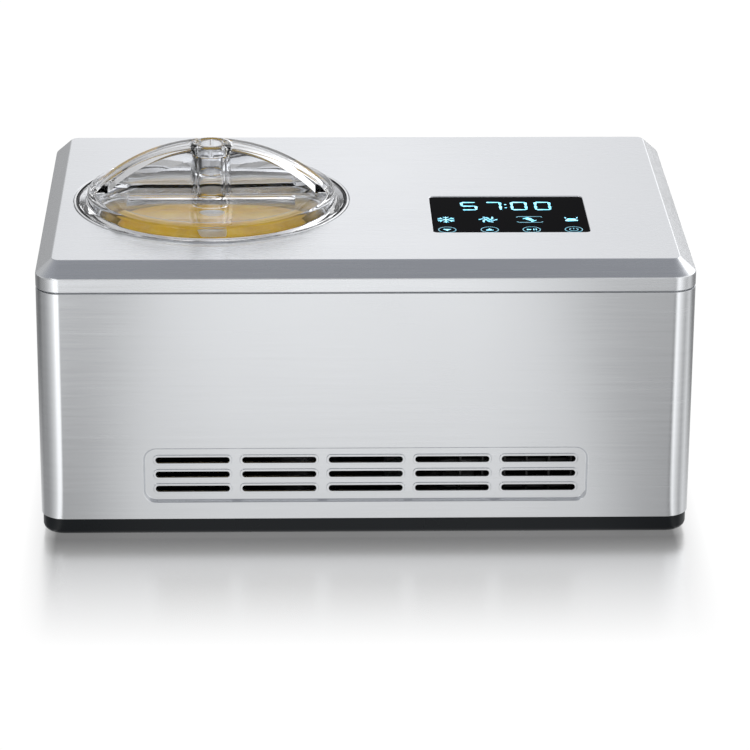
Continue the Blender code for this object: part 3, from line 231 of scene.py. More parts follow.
def soften(piece, width, segments=3, angle=28.0):
    apply_modifier(
        piece, "BEVEL", width=width, segments=segments, limit_method="ANGLE",
        angle_limit=math.radians(angle), miter_outer="MITER_ARC",
    )


def heights(name):
    """Lowest and highest point of a node, in millimetres."""
    low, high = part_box(name)
    return low.z / MM, high.z / MM


def settle(piece, material, body, slot, *nodes, flat=False):
    """Give a finished piece its shading, material, body and the nodes it stands for."""
    only(piece)
    bpy.ops.object.shade_smooth_by_angle(angle=math.radians(35))
    if flat:
        apply_modifier(piece, "WEIGHTED_NORMAL", keep_sharp=True)
    piece.data.materials.clear()
    piece.data.materials.append(material)
    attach(piece, body)
    if nodes:
        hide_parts(*nodes)
    return piece


# Effects that several finishes share, each a node group


def new_group(name, inputs, outputs):
    group = bpy.data.node_groups.new(name, "ShaderNodeTree")
    for socket, kind, value in inputs:
        item = group.interface.new_socket(socket, in_out="INPUT", socket_type=kind)
        if value is not None:
            item.default_value = value
    for socket, kind in outputs:
        group.interface.new_socket(socket, in_out="OUTPUT", socket_type=kind)
    start = group.nodes.new("NodeGroupInput")
    end = group.nodes.new("NodeGroupOutput")
    return group, start, end


def node(tree, kind, inputs=None, **values):
    made = tree.nodes.new("ShaderNode" + kind)
    for key, value in values.items():
        setattr(made, key, value)
    for key, value in (inputs or {}).items():
        if isinstance(value, bpy.types.NodeSocket):
            tree.links.new(value, made.inputs[key])
        else:
            made.inputs[key].default_value = value
    return made


def ranged(tree, value, low, high, from_low=0.0, from_high=1.0):
    inputs = {"Value": value, "From Min": from_low, "From Max": from_high}
    return node(tree, "MapRange", {**inputs, "To Min": low, "To Max": high}).outputs["Result"]


def maths(tree, operation, first, second=0.0):
    return node(tree, "Math", {0: first, 1: second}, operation=operation).outputs[0]


def ramp(tree, factor, first, last, between, blue=1.0):
    """A grey ramp: its two end levels, and (place, level) for each stop between them."""
    made = node(tree, "ValToRGB", {"Fac": factor})
    stops = made.color_ramp.elements
    stops[0].color = (first, first, first, 1.0)
    stops[1].color = (last, last, last, 1.0)
    for place, level in between:
        stops.new(place).color = (level, level, level * blue, 1.0)
    return made.outputs["Color"]


def mixed(tree, factor, first, second):
    mix = node(tree, "Mix", {"Factor": factor}, data_type="RGBA")
    for name, value in (("A", first), ("B", second)):
        socket = [item for item in mix.inputs if item.name == name and item.type == "RGBA"][0]
        if isinstance(value, bpy.types.NodeSocket):
            tree.links.new(value, socket)
        else:
            socket.default_value = value
    return [item for item in mix.outputs if item.type == "RGBA"][0]


def brushing_group():
    """Fine lines and broader streaks left by a brushing belt."""
    group, start, end = new_group(
        "brushing", [("Vector", "NodeSocketVector", None)],
        [("Lines", "NodeSocketFloat"), ("Streaks", "NodeSocketFloat")],
    )
    vector = start.outputs["Vector"]
    fine = node(group, "TexNoise", {"Vector": vector, "Scale": 1.0, "Detail": 3.0})
    wide = node(group, "TexNoise", {"Vector": vector, "Scale": 0.23, "Detail": 2.0})
    group.links.new(fine.outputs["Fac"], end.inputs["Lines"])
    group.links.new(wide.outputs["Fac"], end.inputs["Streaks"])
    return group


def mottle_group():
    """Slow cloudy change, for handling marks and uneven gloss."""
    group, start, end = new_group(
        "mottle",
        [("Vector", "NodeSocketVector", None), ("Scale", "NodeSocketFloat", 20.0),
         ("Low", "NodeSocketFloat", 0.0), ("High", "NodeSocketFloat", 1.0)],
        [("Value", "NodeSocketFloat")],
    )
    inputs = {"Vector": start.outputs["Vector"], "Scale": start.outputs["Scale"], "Detail": 4.0}
    cloud = node(group, "TexNoise", inputs)
    spread = ranged(group, cloud.outputs["Fac"], start.outputs["Low"], start.outputs["High"],
                    0.3, 0.7)
    group.links.new(spread, end.inputs["Value"])
    return group


def moulding_group():
    """Spark-eroded texture of a moulded plastic skin."""
    group, start, end = new_group(
        "moulding",
        [("Vector", "NodeSocketVector", None), ("Scale", "NodeSocketFloat", 1500.0)],
        [("Height", "NodeSocketFloat")],
    )
    inputs = {"Vector": start.outputs["Vector"], "Scale": start.outputs["Scale"], "Detail": 2.0}
    grain = node(group, "TexNoise", inputs)
    group.links.new(grain.outputs["Fac"], end.inputs["Height"])
    return group


def convex_edge_group():
    """Lighter colour on convex edges, found from the mesh's pointiness."""
    group, start, end = new_group(
        "convex_edge_tint", [("Low", "NodeSocketFloat", 0.52), ("High", "NodeSocketFloat", 0.62)],
        [("Mask", "NodeSocketFloat")],
    )
    point = node(group, "NewGeometry").outputs["Pointiness"]
    mask = ranged(group, point, 0.0, 1.0, start.outputs["Low"], start.outputs["High"])
    group.links.new(mask, end.inputs["Mask"])
    return group


GROUPS = {}


def effect(tree, name, **inputs):
    makers = {
        "brushing": brushing_group, "mottle": mottle_group,
        "moulding": moulding_group, "convex_edge_tint": convex_edge_group,
    }
    if name not in GROUPS:
        GROUPS[name] = makers[name]()
    made = tree.nodes.new("ShaderNodeGroup")
    made.node_tree = GROUPS[name]
    for key, value in inputs.items():
        if isinstance(value, bpy.types.NodeSocket):
            tree.links.new(value, made.inputs[key])
        else:
            made.inputs[key].default_value = value
    return made.outputs


def new_material(name, **values):
    """A principled material, its node tree, its shader and object coordinates."""
    material = bpy.data.materials.new(name)
    material.use_nodes = True
    tree = material.node_tree
    shader = tree.nodes["Principled BSDF"]
    for key, value in values.items():
        shader.inputs[key.replace("_", " ")].default_value = value
    place = node(tree, "TexCoord").outputs["Object"]
    return material, tree, shader, place


def stretch(tree, place, scale):
    return node(tree, "Mapping", {"Vector": place, "Scale": scale}).outputs["Vector"]


def bump(tree, shader, height, strength, distance):
    inputs = {"Height": height, "Strength": strength, "Distance": distance}
    made = node(tree, "Bump", inputs)
    tree.links.new(made.outputs["Normal"], shader.inputs["Normal"])


# Finishes


def brushed_steel(name, colour, roughness, scale, contrast=0.05, depth=0.012, spread=0.0):
    """Stainless sheet, its lines drawn out along the directions that scale keeps small."""
    material, tree, shader, place = new_material(
        name, Metallic=1.0, Anisotropic=spread, Anisotropic_Rotation=0.25,
    )
    lines = effect(tree, "brushing", Vector=stretch(tree, place, scale))
    dark = [channel * (1.0 - contrast) for channel in colour[:3]] + [1.0]
    light = [min(1.0, channel * (1.0 + contrast)) for channel in colour[:3]] + [1.0]
    both = maths(tree, "ADD", maths(tree, "MULTIPLY", lines["Lines"], 0.6),
                 maths(tree, "MULTIPLY", lines["Streaks"], 0.4))
    tone = mixed(tree, ranged(tree, both, 0.0, 1.0, 0.32, 0.68), dark, light)
    tree.links.new(tone, shader.inputs["Base Color"])
    marks = effect(tree, "mottle", Vector=place, Scale=9.0, Low=-0.02, High=0.025)["Value"]
    gloss = ranged(tree, both, roughness - 0.04, roughness + 0.05, 0.3, 0.7)
    tree.links.new(maths(tree, "ADD", gloss, marks), shader.inputs["Roughness"])
    bump(tree, shader, lines["Lines"], 0.5, depth * MM)
    return material


def plain_metal(name, colour, roughness, spread=0.06, scale=60.0, dark=0.85):
    material, tree, shader, place = new_material(name, Metallic=1.0)
    cloud = effect(tree, "mottle", Vector=place, Scale=scale)["Value"]
    shade = [channel * dark for channel in colour[:3]] + [1.0]
    tree.links.new(mixed(tree, cloud, shade, colour), shader.inputs["Base Color"])
    tree.links.new(ranged(tree, cloud, roughness + spread, roughness - spread),
                   shader.inputs["Roughness"])
    grain = effect(tree, "moulding", Vector=place, Scale=900.0)["Height"]
    bump(tree, shader, grain, 0.15, 0.02 * MM)
    return material


def moulded(name, colour, roughness, grain=1500.0, depth=0.03, edge_amount=0.25, light=(0.2, 0.2, 0.2),
            shine=0.5):
    """Moulded plastic or rubber: fine texture, uneven gloss and lighter convex edges."""
    material, tree, shader, place = new_material(name, Specular_IOR_Level=shine)
    cloud = effect(tree, "mottle", Vector=place, Scale=25.0)["Value"]
    # Lighter colour mixed in on convex edges, by the mesh's pointiness.
    mask = maths(tree, "MULTIPLY", effect(tree, "convex_edge_tint")["Mask"], edge_amount)
    shade = [channel * 0.88 for channel in colour[:3]] + [1.0]
    tone = mixed(tree, cloud, shade, colour)
    tree.links.new(mixed(tree, mask, tone, (*light, 1.0)), shader.inputs["Base Color"])
    tree.links.new(ranged(tree, cloud, roughness - 0.05, roughness + 0.05),
                   shader.inputs["Roughness"])
    bump(tree, shader, effect(tree, "moulding", Vector=place, Scale=grain)["Height"],
         0.35, depth * MM)
    return material


def clear_plastic(name, tint, haze=0.02):
    """Clear moulded plastic that lets light through to what it covers."""
    material, tree, shader, place = new_material(
        name, Base_Color=(*tint, 1.0), IOR=1.32, Transmission_Weight=1.0,
    )
    cloud = effect(tree, "mottle", Vector=place, Scale=40.0)["Value"]
    tree.links.new(ranged(tree, cloud, haze * 0.5, haze * 1.5), shader.inputs["Roughness"])
    shadow = node(tree, "LightPath").outputs["Is Shadow Ray"]
    tree.links.new(ranged(tree, shadow, 1.0, 0.12), shader.inputs["Alpha"])
    ripple = effect(tree, "mottle", Vector=place, Scale=90.0)["Value"]
    bump(tree, shader, ripple, 0.05, 0.2 * MM)
    return material


def frozen_cream(name, colour):
    material, tree, shader, place = new_material(
        name, Subsurface_Weight=0.15, Subsurface_Scale=0.005, Specular_IOR_Level=0.3,
    )
    shader.inputs["Subsurface Radius"].default_value = (1.0, 0.6, 0.2)
    fold_bump_and_shade = effect(tree, "mottle", Vector=stretch(tree, place, (1.0, 1.0, 2.4)), Scale=38.0)
    fine = effect(tree, "mottle", Vector=place, Scale=260.0)["Value"]
    # Painted shade and highlight: the noise that raises the folds' bump also colours the cream,
    # deeper in the hollows and paler on the ridges.
    pale = [colour[0] * 1.05, colour[1] * 1.16, colour[2] * 2.6, 1.0]
    painted_fold_shade = [colour[0] * 0.86, colour[1] * 0.78, colour[2] * 0.45, 1.0]
    tree.links.new(mixed(tree, fold_bump_and_shade["Value"], painted_fold_shade, pale), shader.inputs["Base Color"])
    tree.links.new(ranged(tree, fine, 0.32, 0.55), shader.inputs["Roughness"])
    both = maths(tree, "ADD", fold_bump_and_shade["Value"], maths(tree, "MULTIPLY", fine, 0.35))
    bump(tree, shader, both, 0.5, 1.2 * MM)
    return material


def black_window(name):
    material, tree, shader, place = new_material(
        name, Base_Color=(0.002, 0.002, 0.003, 1.0), IOR=1.06, Specular_IOR_Level=0.1,
    )
    smear = effect(tree, "mottle", Vector=stretch(tree, place, (1.0, 2.2, 1.0)), Scale=30.0,
                   Low=0.04, High=0.11)["Value"]
    tree.links.new(smear, shader.inputs["Roughness"])
    return material


def lit_symbol(name, colour, strength):
    """A lamp behind a printed symbol: brightest in patches, as its diodes are."""
    material, tree, shader, place = new_material(name, Emission_Strength=strength)
    shader.inputs["Base Color"].default_value = (0.0, 0.01, 0.012, 1.0)
    shader.inputs["Roughness"].default_value = 0.3
    patch = effect(tree, "mottle", Vector=place, Scale=420.0)["Value"]
    pale = [channel + (1.0 - channel) * 0.35 for channel in colour[:3]] + [1.0]
    glow = mixed(tree, patch, (*colour[:3], 1.0), pale)
    tree.links.new(glow, shader.inputs["Emission Color"])
    return material


def foam(name):
    material, tree, shader, place = new_material(name)
    cells = node(tree, "TexVoronoi", {"Vector": place, "Scale": 420.0}).outputs["Distance"]
    cloud = effect(tree, "mottle", Vector=place, Scale=30.0)["Value"]
    tone = mixed(tree, cloud, (0.60, 0.47, 0.24, 1.0), (0.78, 0.66, 0.40, 1.0))
    tree.links.new(tone, shader.inputs["Base Color"])
    tree.links.new(ranged(tree, cells, 0.95, 0.7), shader.inputs["Roughness"])
    bump(tree, shader, cells, 0.6, 0.4 * MM)
    return material


def circuit(name):
    """Solder-masked board: green over a grid of tracks."""
    material, tree, shader, place = new_material(name, Coat_Roughness=0.15)
    tracks = node(tree, "TexBrick", {
        "Vector": place, "Scale": 260.0, "Mortar Size": 0.03,
        "Color1": (0.010, 0.105, 0.035, 1.0), "Color2": (0.014, 0.125, 0.045, 1.0),
        "Mortar": (0.10, 0.22, 0.06, 1.0),
    })
    tree.links.new(tracks.outputs["Color"], shader.inputs["Base Color"])
    tree.links.new(ranged(tree, tracks.outputs["Fac"], 0.3, 0.5), shader.inputs["Roughness"])
    bump(tree, shader, tracks.outputs["Fac"], 0.2, 0.05 * MM)
    return material


FINISHES = {}


def finish(name):
    """Each finish is made the first time that a piece asks for it."""
    if name in FINISHES:
        return FINISHES[name]
    colours = bpy.context.scene.finish_colours
    steel = tuple(colours.steel)
    symbols = tuple(colours.symbols)
    along_x = (22.0, 22.0, 1900.0)
    on_top = (22.0, 1900.0, 1900.0)
    makers = {
        "case_steel": (brushed_steel, (*steel, 1.0), 0.22, along_x, 0.03, 0.02, 0.75),
        # Painted light: the cover's steel is the case steel made 4 % lighter, so the top reads
        # brighter.
        "cover_steel": (
            brushed_steel, (*[min(1.0, c * 1.04) for c in steel], 1.0), 0.25, on_top, 0.012),
        "rim_steel": (plain_metal, (0.80, 0.81, 0.82, 1.0), 0.14, 0.04),
        "bowl_steel": (brushed_steel, (0.70, 0.71, 0.72, 1.0), 0.24, (60.0, 60.0, 1600.0)),
        "base_black": (
            moulded, (*colours.base, 1.0), 0.30, 1300.0, 0.02, 0.06, (0.04, 0.045, 0.05), 0.22),
        "gasket_black": (moulded, (0.012, 0.012, 0.016, 1.0), 0.5, 1600.0, 0.02, 0.1),
        "foot_rubber": (moulded, (0.02, 0.02, 0.02, 1.0), 0.72, 900.0, 0.05, 0.15),
        "frame_black": (moulded, (0.02, 0.02, 0.022, 1.0), 0.45),
        "lid_clear": (clear_plastic, (0.985, 0.99, 1.0)),
        "cream": (frozen_cream, tuple(colours.cream)),
        "window_black": (black_window,),
        "symbol": (lit_symbol, symbols, 2.2),
        "symbol_dim": (lit_symbol, [c * 0.8 for c in symbols], 1.0),
        "paddle_white": (
            moulded, (0.78, 0.77, 0.73, 1.0), 0.38, 700.0, 0.03, 0.3, (0.9, 0.9, 0.88)),
        "seal_clear": (
            moulded, (0.42, 0.44, 0.48, 1.0), 0.35, 500.0, 0.03, 0.2, (0.7, 0.72, 0.75)),
        "zinc": (plain_metal, (0.62, 0.63, 0.66, 1.0), 0.34, 0.1, 180.0, 0.7),
        "copper": (plain_metal, (0.86, 0.44, 0.26, 1.0), 0.30, 0.1, 55.0, 0.62),
        "alloy": (plain_metal, (0.74, 0.75, 0.77, 1.0), 0.38, 0.08, 45.0, 0.85),
        "foam": (foam,),
        "circuit": (circuit,),
        "black_paint": (
            moulded, (0.014, 0.014, 0.015, 1.0), 0.36, 380.0, 0.08, 0.35, (0.12, 0.12, 0.12)),
    }
    maker, *values = makers[name]
    FINISHES[name] = maker(name, *values)
    return FINISHES[name]


# Settings that a user would change


def length(name, description, millimetres):
    return FloatProperty(
        name=name, description=description, default=millimetres * MM, unit="LENGTH",
        subtype="DISTANCE",
    )


def colour(name, description, default):
    return FloatVectorProperty(
        name=name, description=description, default=default, subtype="COLOR", min=0.0, max=1.0,
    )


def turn(name, description, degrees):
    return FloatProperty(
        name=name, description=description, default=math.radians(degrees), unit="ROTATION",
        subtype="ANGLE",
    )


class CaseSizes(bpy.types.PropertyGroup):
    """Sizes of the case and its openings."""

    sheet: length("Sheet", "Thickness of the steel sheet", 1.5)
    corner_radius: length("Corner radius", "Radius of the upright corners", 16.0)
    chamfer: length("Chamfer", "Width of the cover's slope, seen from above", 10.6)
    grille_width: length("Grille width", "Width of the pressed grille", 291.6)
    grille_height: length("Grille height", "Height of the pressed grille", 39.9)
    grille_depth: length("Grille depth", "How far the grille is pressed in", 2.6)


class FinishColours(bpy.types.PropertyGroup):
    """Colours of the visible finishes."""

    steel: colour("Steel", "Colour of the brushed steel", (0.72, 0.735, 0.755))
    base: colour("Base", "Colour of the base tray", (0.005, 0.007, 0.009))
    cream: colour("Frozen cream", "Colour of the batch in the bowl", (0.84, 0.50, 0.010))
    symbols: colour("Symbols", "Colour of the lit time and symbols", (0.06, 0.62, 0.88))


class StageSettings(bpy.types.PropertyGroup):
    """Camera and light."""

    lens: FloatProperty(
        name="Lens", description="Focal length in millimetres on a 36 mm sensor", default=174.05,
    )
    pitch: turn("Pitch", "How far the camera looks down", 20.96)
    yaw: turn("Yaw", "How far the camera turns to the machine's right", 1.53)
    roll: turn("Roll", "Tilt of the camera about its own line of sight", -0.35)
    brightness: FloatProperty(
        name="Brightness", description="Strength of the studio light", default=1.0, min=0.0,
    )


def sizes():
    return bpy.context.scene.case_sizes


# Case


def case_block(name, inset, low, high):
    """A solid the outline of the case, drawn in all round by inset."""
    x = WRAP_HIGH.x - inset
    y = WRAP_HIGH.y - inset
    radius = max(2.0 * MM, sizes().corner_radius - inset)
    return rounded_block(name, (-x, -y, low), (x, y, high), radius, 2, 14)


GRILLE_MIDDLE = WRAP_LOW.z + 30.7 * MM
SLOT = Vector((48.1 * MM, 0.0, 4.05 * MM))
SLOT_PITCH = Vector((56.4 * MM, 0.0, 10.0 * MM))


def slot_places():
    for column in range(-2, 3):
        for row in range(-1, 2):
            yield Vector((column * SLOT_PITCH.x, 0.0, GRILLE_MIDDLE + row * SLOT_PITCH.z))


def slot_row(name, grow, front, back, radius):
    """Fifteen like blocks, one at each place of the grille."""
    half = SLOT / 2 + Vector((grow, 0.0, grow))
    low = (-half.x, front, -half.z)
    high = (half.x, back, half.z)
    first = rounded_block(name, low, high, radius, 1, 4)
    copies = [copied(first, place) for place in slot_places()]
    bpy.data.objects.remove(first)
    return joined(name, copies)


class CASE_OT_wrap(bpy.types.Operator):
    """Model the brushed steel wrap with its pressed grille and rear opening"""

    bl_idname = "icemaker.wrap"
    bl_label = "Steel wrap"

    def execute(self, context):
        size = sizes()
        low = WRAP_LOW.z
        high = WRAP_HIGH.z
        front = WRAP_LOW.y
        wrap = case_block("steel_wrap", 0.0, low, high)
        cut(wrap, case_block("inside", size.sheet, low - 5 * MM, high + 5 * MM))
        half = size.grille_width / 2
        bottom = GRILLE_MIDDLE - size.grille_height / 2
        top = GRILLE_MIDDLE + size.grille_height / 2
        pan = rounded_block(
            "pan", (-half, front + 0.5 * MM, bottom),
            (half, front + size.sheet + size.grille_depth, top), 7 * MM, 1, 6,
        )
        add(wrap, pan)
        pocket = rounded_block(
            "pocket", (-half, front - 2 * MM, bottom), (half, front + size.grille_depth, top),
            8 * MM, 1, 8,
        )
        with editing(pocket):
            deepest = front + size.grille_depth
            pick("FACE", lambda face: abs(face.calc_center_median().y - deepest) < MM / 100)
            slope = 2.2 * MM
            bpy.ops.transform.resize(
                value=(1 - slope / half, 1.0, 1 - slope / (size.grille_height / 2)),
                center_override=(0.0, deepest, GRILLE_MIDDLE),
            )
        cut(wrap, pocket)
        floor = front + size.grille_depth
        lips = slot_row("lips", 1.5 * MM, floor - 0.9 * MM, floor + 0.5 * MM, 3.0 * MM)
        add(wrap, lips)
        cut(wrap, slot_row("slots", 0.0, front - 5 * MM, front + 12 * MM, 1.9 * MM))
        x = REAR_HIGH.x - 12.0 * MM + 0.3 * MM
        z_low = REAR_LOW.z + 4.0 * MM
        z_high = REAR_HIGH.z - 4.0 * MM
        back = WRAP_HIGH.y
        cut(wrap, block("rear", (-x, back - 20 * MM, z_low), (x, back + 5 * MM, z_high)))
        soften(wrap, 0.5 * MM, 2, 32)
        settle(wrap, finish("case_steel"), "housing", "steel", "housing_wrap", flat=True)
        return {"FINISHED"}


class CASE_OT_cover(bpy.types.Operator):
    """Model the chamfered steel cover with its round and window openings"""

    bl_idname = "icemaker.cover"
    bl_label = "Steel cover"

    def execute(self, context):
        size = sizes()
        band_low = WRAP_HIGH.z + 0.8 * MM
        band_top = TOP - 9.5 * MM
        cover = case_block("steel_cover", 0.0, band_low, band_top)
        with editing(cover):
            pick("FACE", lambda face: face.normal.z > 0.99)
            bpy.ops.mesh.inset(thickness=size.chamfer, depth=TOP - band_top)
        inner = case_block("inside", size.sheet, band_low - 5 * MM, band_top - 0.9 * MM)
        with editing(inner):
            pick("FACE", lambda face: face.normal.z > 0.99)
            bpy.ops.mesh.inset(thickness=size.chamfer, depth=TOP - band_top - 0.6 * MM)
        cut(cover, inner)
        lip = case_block("lip", size.sheet + 0.3 * MM, COVER_LOW.z, band_low + 3 * MM)
        cut(lip, case_block("gap", 2.6 * size.sheet, COVER_LOW.z - 5 * MM, band_low + 9 * MM))
        cut(cover, cylinder("mouth", WELL, 92.5 * MM, TOP - 6 * MM, TOP + 5 * MM, sides=128))
        edge = 0.3 * MM
        corner = (WINDOW_LOW.x - edge, WINDOW_LOW.y - edge, TOP - 6 * MM)
        other = (WINDOW_HIGH.x + edge, WINDOW_HIGH.y + edge, TOP + 5 * MM)
        cut(cover, rounded_block("window_hole", corner, other, 3.2 * MM, 2, 8))
        soften(cover, 0.7 * MM, 3, 24)
        settle(cover, finish("cover_steel"), "housing", "steel", "top_cover", flat=True)
        settle(lip, finish("case_steel"), "housing", "steel", "top_cover", flat=True)
        lip.name = "cover_lip"
        return {"FINISHED"}


class CASE_OT_base(bpy.types.Operator):
    """Model the dark base tray with its drawn-in lower edge, and its ribbed feet"""

    bl_idname = "icemaker.base"
    bl_label = "Base and feet"

    def execute(self, context):
        inset = WRAP_HIGH.x - BASE_HIGH.x
        shoulder = BASE_LOW.z + 4.0 * MM
        base = case_block("base_shell", inset, shoulder, BASE_HIGH.z)
        with editing(base):
            for inward, down in ((0.5, 1.6), (1.2, 1.4), (2.3, 1.0)):
                pick("FACE", lambda face: face.normal.z < -0.99 and face.calc_area() > 0.05)
                bpy.ops.mesh.inset(thickness=inward * MM, depth=down * MM)
        hollow = case_block("hollow", inset + 3.0 * MM, BASE_LOW.z + 3.5 * MM, 20 * MM)
        cut(base, hollow)
        foot_low, foot_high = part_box("foot_1")
        spot = (foot_low + foot_high) / 2
        radius = (foot_high.x - foot_low.x) / 2
        for x in (-spot.x, spot.x):
            for y in (-spot.y, spot.y):
                place = (x, y, 0.0)
                well = cylinder("pocket", place, radius + 0.3 * MM, 0.0, 3.5 * MM, sides=48)
                cut(base, well)
        soften(base, 0.35 * MM, 2, 30)
        settle(base, finish("base_black"), "housing", "black_plastic", "base_tray", flat=True)
        top = foot_high.z / MM
        wide = radius / MM
        profile = [
            (0.0, 0.5), (4.0, 0.5), (4.4, 0.0), (6.4, 0.0), (6.8, 0.5), (7.6, 0.5), (8.0, 0.0),
            (11.0, 0.0), (11.7, 0.3), (12.0, 1.0), (wide, top - 0.4), (wide - 0.4, top), (0.0, top),
        ]
        for number in range(1, 5):
            low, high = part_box(f"foot_{number}")
            foot = turned(f"rubber_foot_{number}", (low + high) / 2, profile, 48, closed=False)
            settle(foot, finish("foot_rubber"), "housing", "rubber", f"foot_{number}")
        return {"FINISHED"}


class CASE_OT_rear(bpy.types.Operator):
    """Model the rear panel with its vents, its screws and the lead's gland"""

    bl_idname = "icemaker.rear"
    bl_label = "Rear panel"

    def execute(self, context):
        margin = Vector((12.3 * MM, 0.0, 4.3 * MM))
        low = REAR_LOW + margin
        high = REAR_HIGH - margin
        face = high.y
        corner = (low.x, face - 2.2 * MM, low.z)
        panel = rounded_block("vented_panel", corner, (high.x, face, high.z), 1.0 * MM, 1, 3)
        flange = block("flange", (REAR_LOW.x, REAR_LOW.y, REAR_LOW.z),
                       (REAR_HIGH.x, REAR_LOW.y + 1.5 * MM, REAR_HIGH.z))
        add(panel, flange)
        vent_top = high.z - 17.7 * MM
        shell_low, shell_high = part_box("compressor_shell")
        vents = []
        for middle in (WELL.x, (shell_low.x + shell_high.x) / 2 - 30 * MM):
            for count in range(-3, 4):
                x = middle + count * 12.0 * MM
                vents.append(rounded_block(
                    "vent", (x - 2 * MM, face - 12 * MM, vent_top - 46 * MM),
                    (x + 2 * MM, face + 5 * MM, vent_top), 1.9 * MM, 1, 5,
                ))
        cut(panel, joined("vents", vents))
        gland_low, gland_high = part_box("cord_gland")
        gland = (gland_low + gland_high) / 2
        cut(panel, cylinder("hole", gland, 9 * MM, face - 12 * MM, face + 5 * MM, 1, 48))
        for number in range(1, 5):
            spot_low, spot_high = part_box(f"rear_screw_{number}")
            spot = (spot_low + spot_high) / 2
            cut(panel, cylinder("hole", spot, 1.8 * MM, face - 12 * MM, face + 5 * MM, 1, 24))
        soften(panel, 0.35 * MM, 2, 30)
        settle(panel, finish("case_steel"), "housing", "steel", "rear_panel", flat=True)
        self.screws()
        self.gland(gland, gland_low, gland_high)
        return {"FINISHED"}

    def screws(self):
        for number in range(1, 5):
            low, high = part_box(f"rear_screw_{number}")
            spot = (low + high) / 2
            radius = (high.x - low.x) / 2
            head = cylinder(f"cross_screw_{number}", spot, radius, high.y - 1.3 * MM, high.y, 1, 40)
            soften(head, 0.45 * MM, 4, 40)
            shank = cylinder("shank", spot, 1.5 * MM, low.y, high.y - 1.0 * MM, 1, 24)
            add(head, shank)
            settle(head, finish("zinc"), "housing", "zinc", f"rear_screw_{number}")

    def gland(self, middle, low, high):
        bore = 3.6
        barrel = 8.7
        collar = (high.x - low.x) / 2 / MM
        depth = (high.y - low.y) / MM
        profile = [
            (bore, 0.0), (barrel, 0.0), (barrel, 2.0), (collar, 2.0), (collar, depth - 3.8),
            (barrel, depth - 3.8), (barrel, depth - 0.8), (barrel - 0.8, depth),
            (bore + 1.6, depth), (bore + 1.0, depth - 1.0), (bore, depth - 1.6),
        ]
        gland = turned("lead_gland", (0.0, 0.0, 0.0), profile, 48)
        gland.rotation_euler = (-math.pi / 2, 0.0, 0.0)
        gland.location = (middle.x, low.y, middle.z)
        apply_place(gland)
        settle(gland, finish("foot_rubber"), "housing", "rubber", "cord_gland")


# Window


def bar(start, end, width, height):
    """A flat stroke with pointed ends, from start to end, lying on the window."""
    start = Vector((*start, 0.0)) * MM
    end = Vector((*end, 0.0)) * MM
    length = (end - start).length
    bpy.ops.mesh.primitive_circle_add(vertices=6, radius=width * MM / 2, fill_type="NGON")
    piece = named("stroke")
    with editing(piece):
        pick("VERT", lambda point: point.co.x > MM / 100)
        bpy.ops.transform.translate(value=(length - width * MM, 0.0, 0.0))
        select_everything()
        bpy.ops.transform.translate(value=(width * MM / 2, 0.0, 0.0))
    piece.rotation_euler[2] = math.atan2(end.y - start.y, end.x - start.x)
    middle = (WINDOW_LOW + WINDOW_HIGH) / 2
    piece.location = (middle.x + start.x, middle.y + start.y, height)
    apply_place(piece)
    return piece


def strokes(points, width, height):
    return [bar(a, b, width, height) for a, b in zip(points, points[1:])]


def arc(centre, radius, start, sweep, steps=10):
    places = []
    for step in range(steps + 1):
        angle = math.radians(start + sweep * step / steps)
        places.append((centre[0] + radius * math.cos(angle), centre[1] + radius * math.sin(angle)))
    return places


SEGMENTS = {"5": "afgcd", "7": "abc", "0": "abcdef"}


def digit(figure, x, y, height):
    """One figure of the clock, drawn with up to seven strokes."""
    half_x = 4.7
    half_y = 7.8
    gap = 0.25
    corners = {
        "a": ((-half_x + gap, half_y), (half_x - gap, half_y)),
        "b": ((half_x, half_y - gap), (half_x, gap)),
        "c": ((half_x, -gap), (half_x, -half_y + gap)),
        "d": ((-half_x + gap, -half_y), (half_x - gap, -half_y)),
        "e": ((-half_x, -gap), (-half_x, -half_y + gap)),
        "f": ((-half_x, half_y - gap), (-half_x, gap)),
        "g": ((-half_x + gap, 0.0), (half_x - gap, 0.0)),
    }
    pieces = []
    for letter in SEGMENTS[figure]:
        (x1, y1), (x2, y2) = corners[letter]
        pieces.append(bar((x + x1, y + y1), (x + x2, y + y2), 2.1, height))
    return pieces


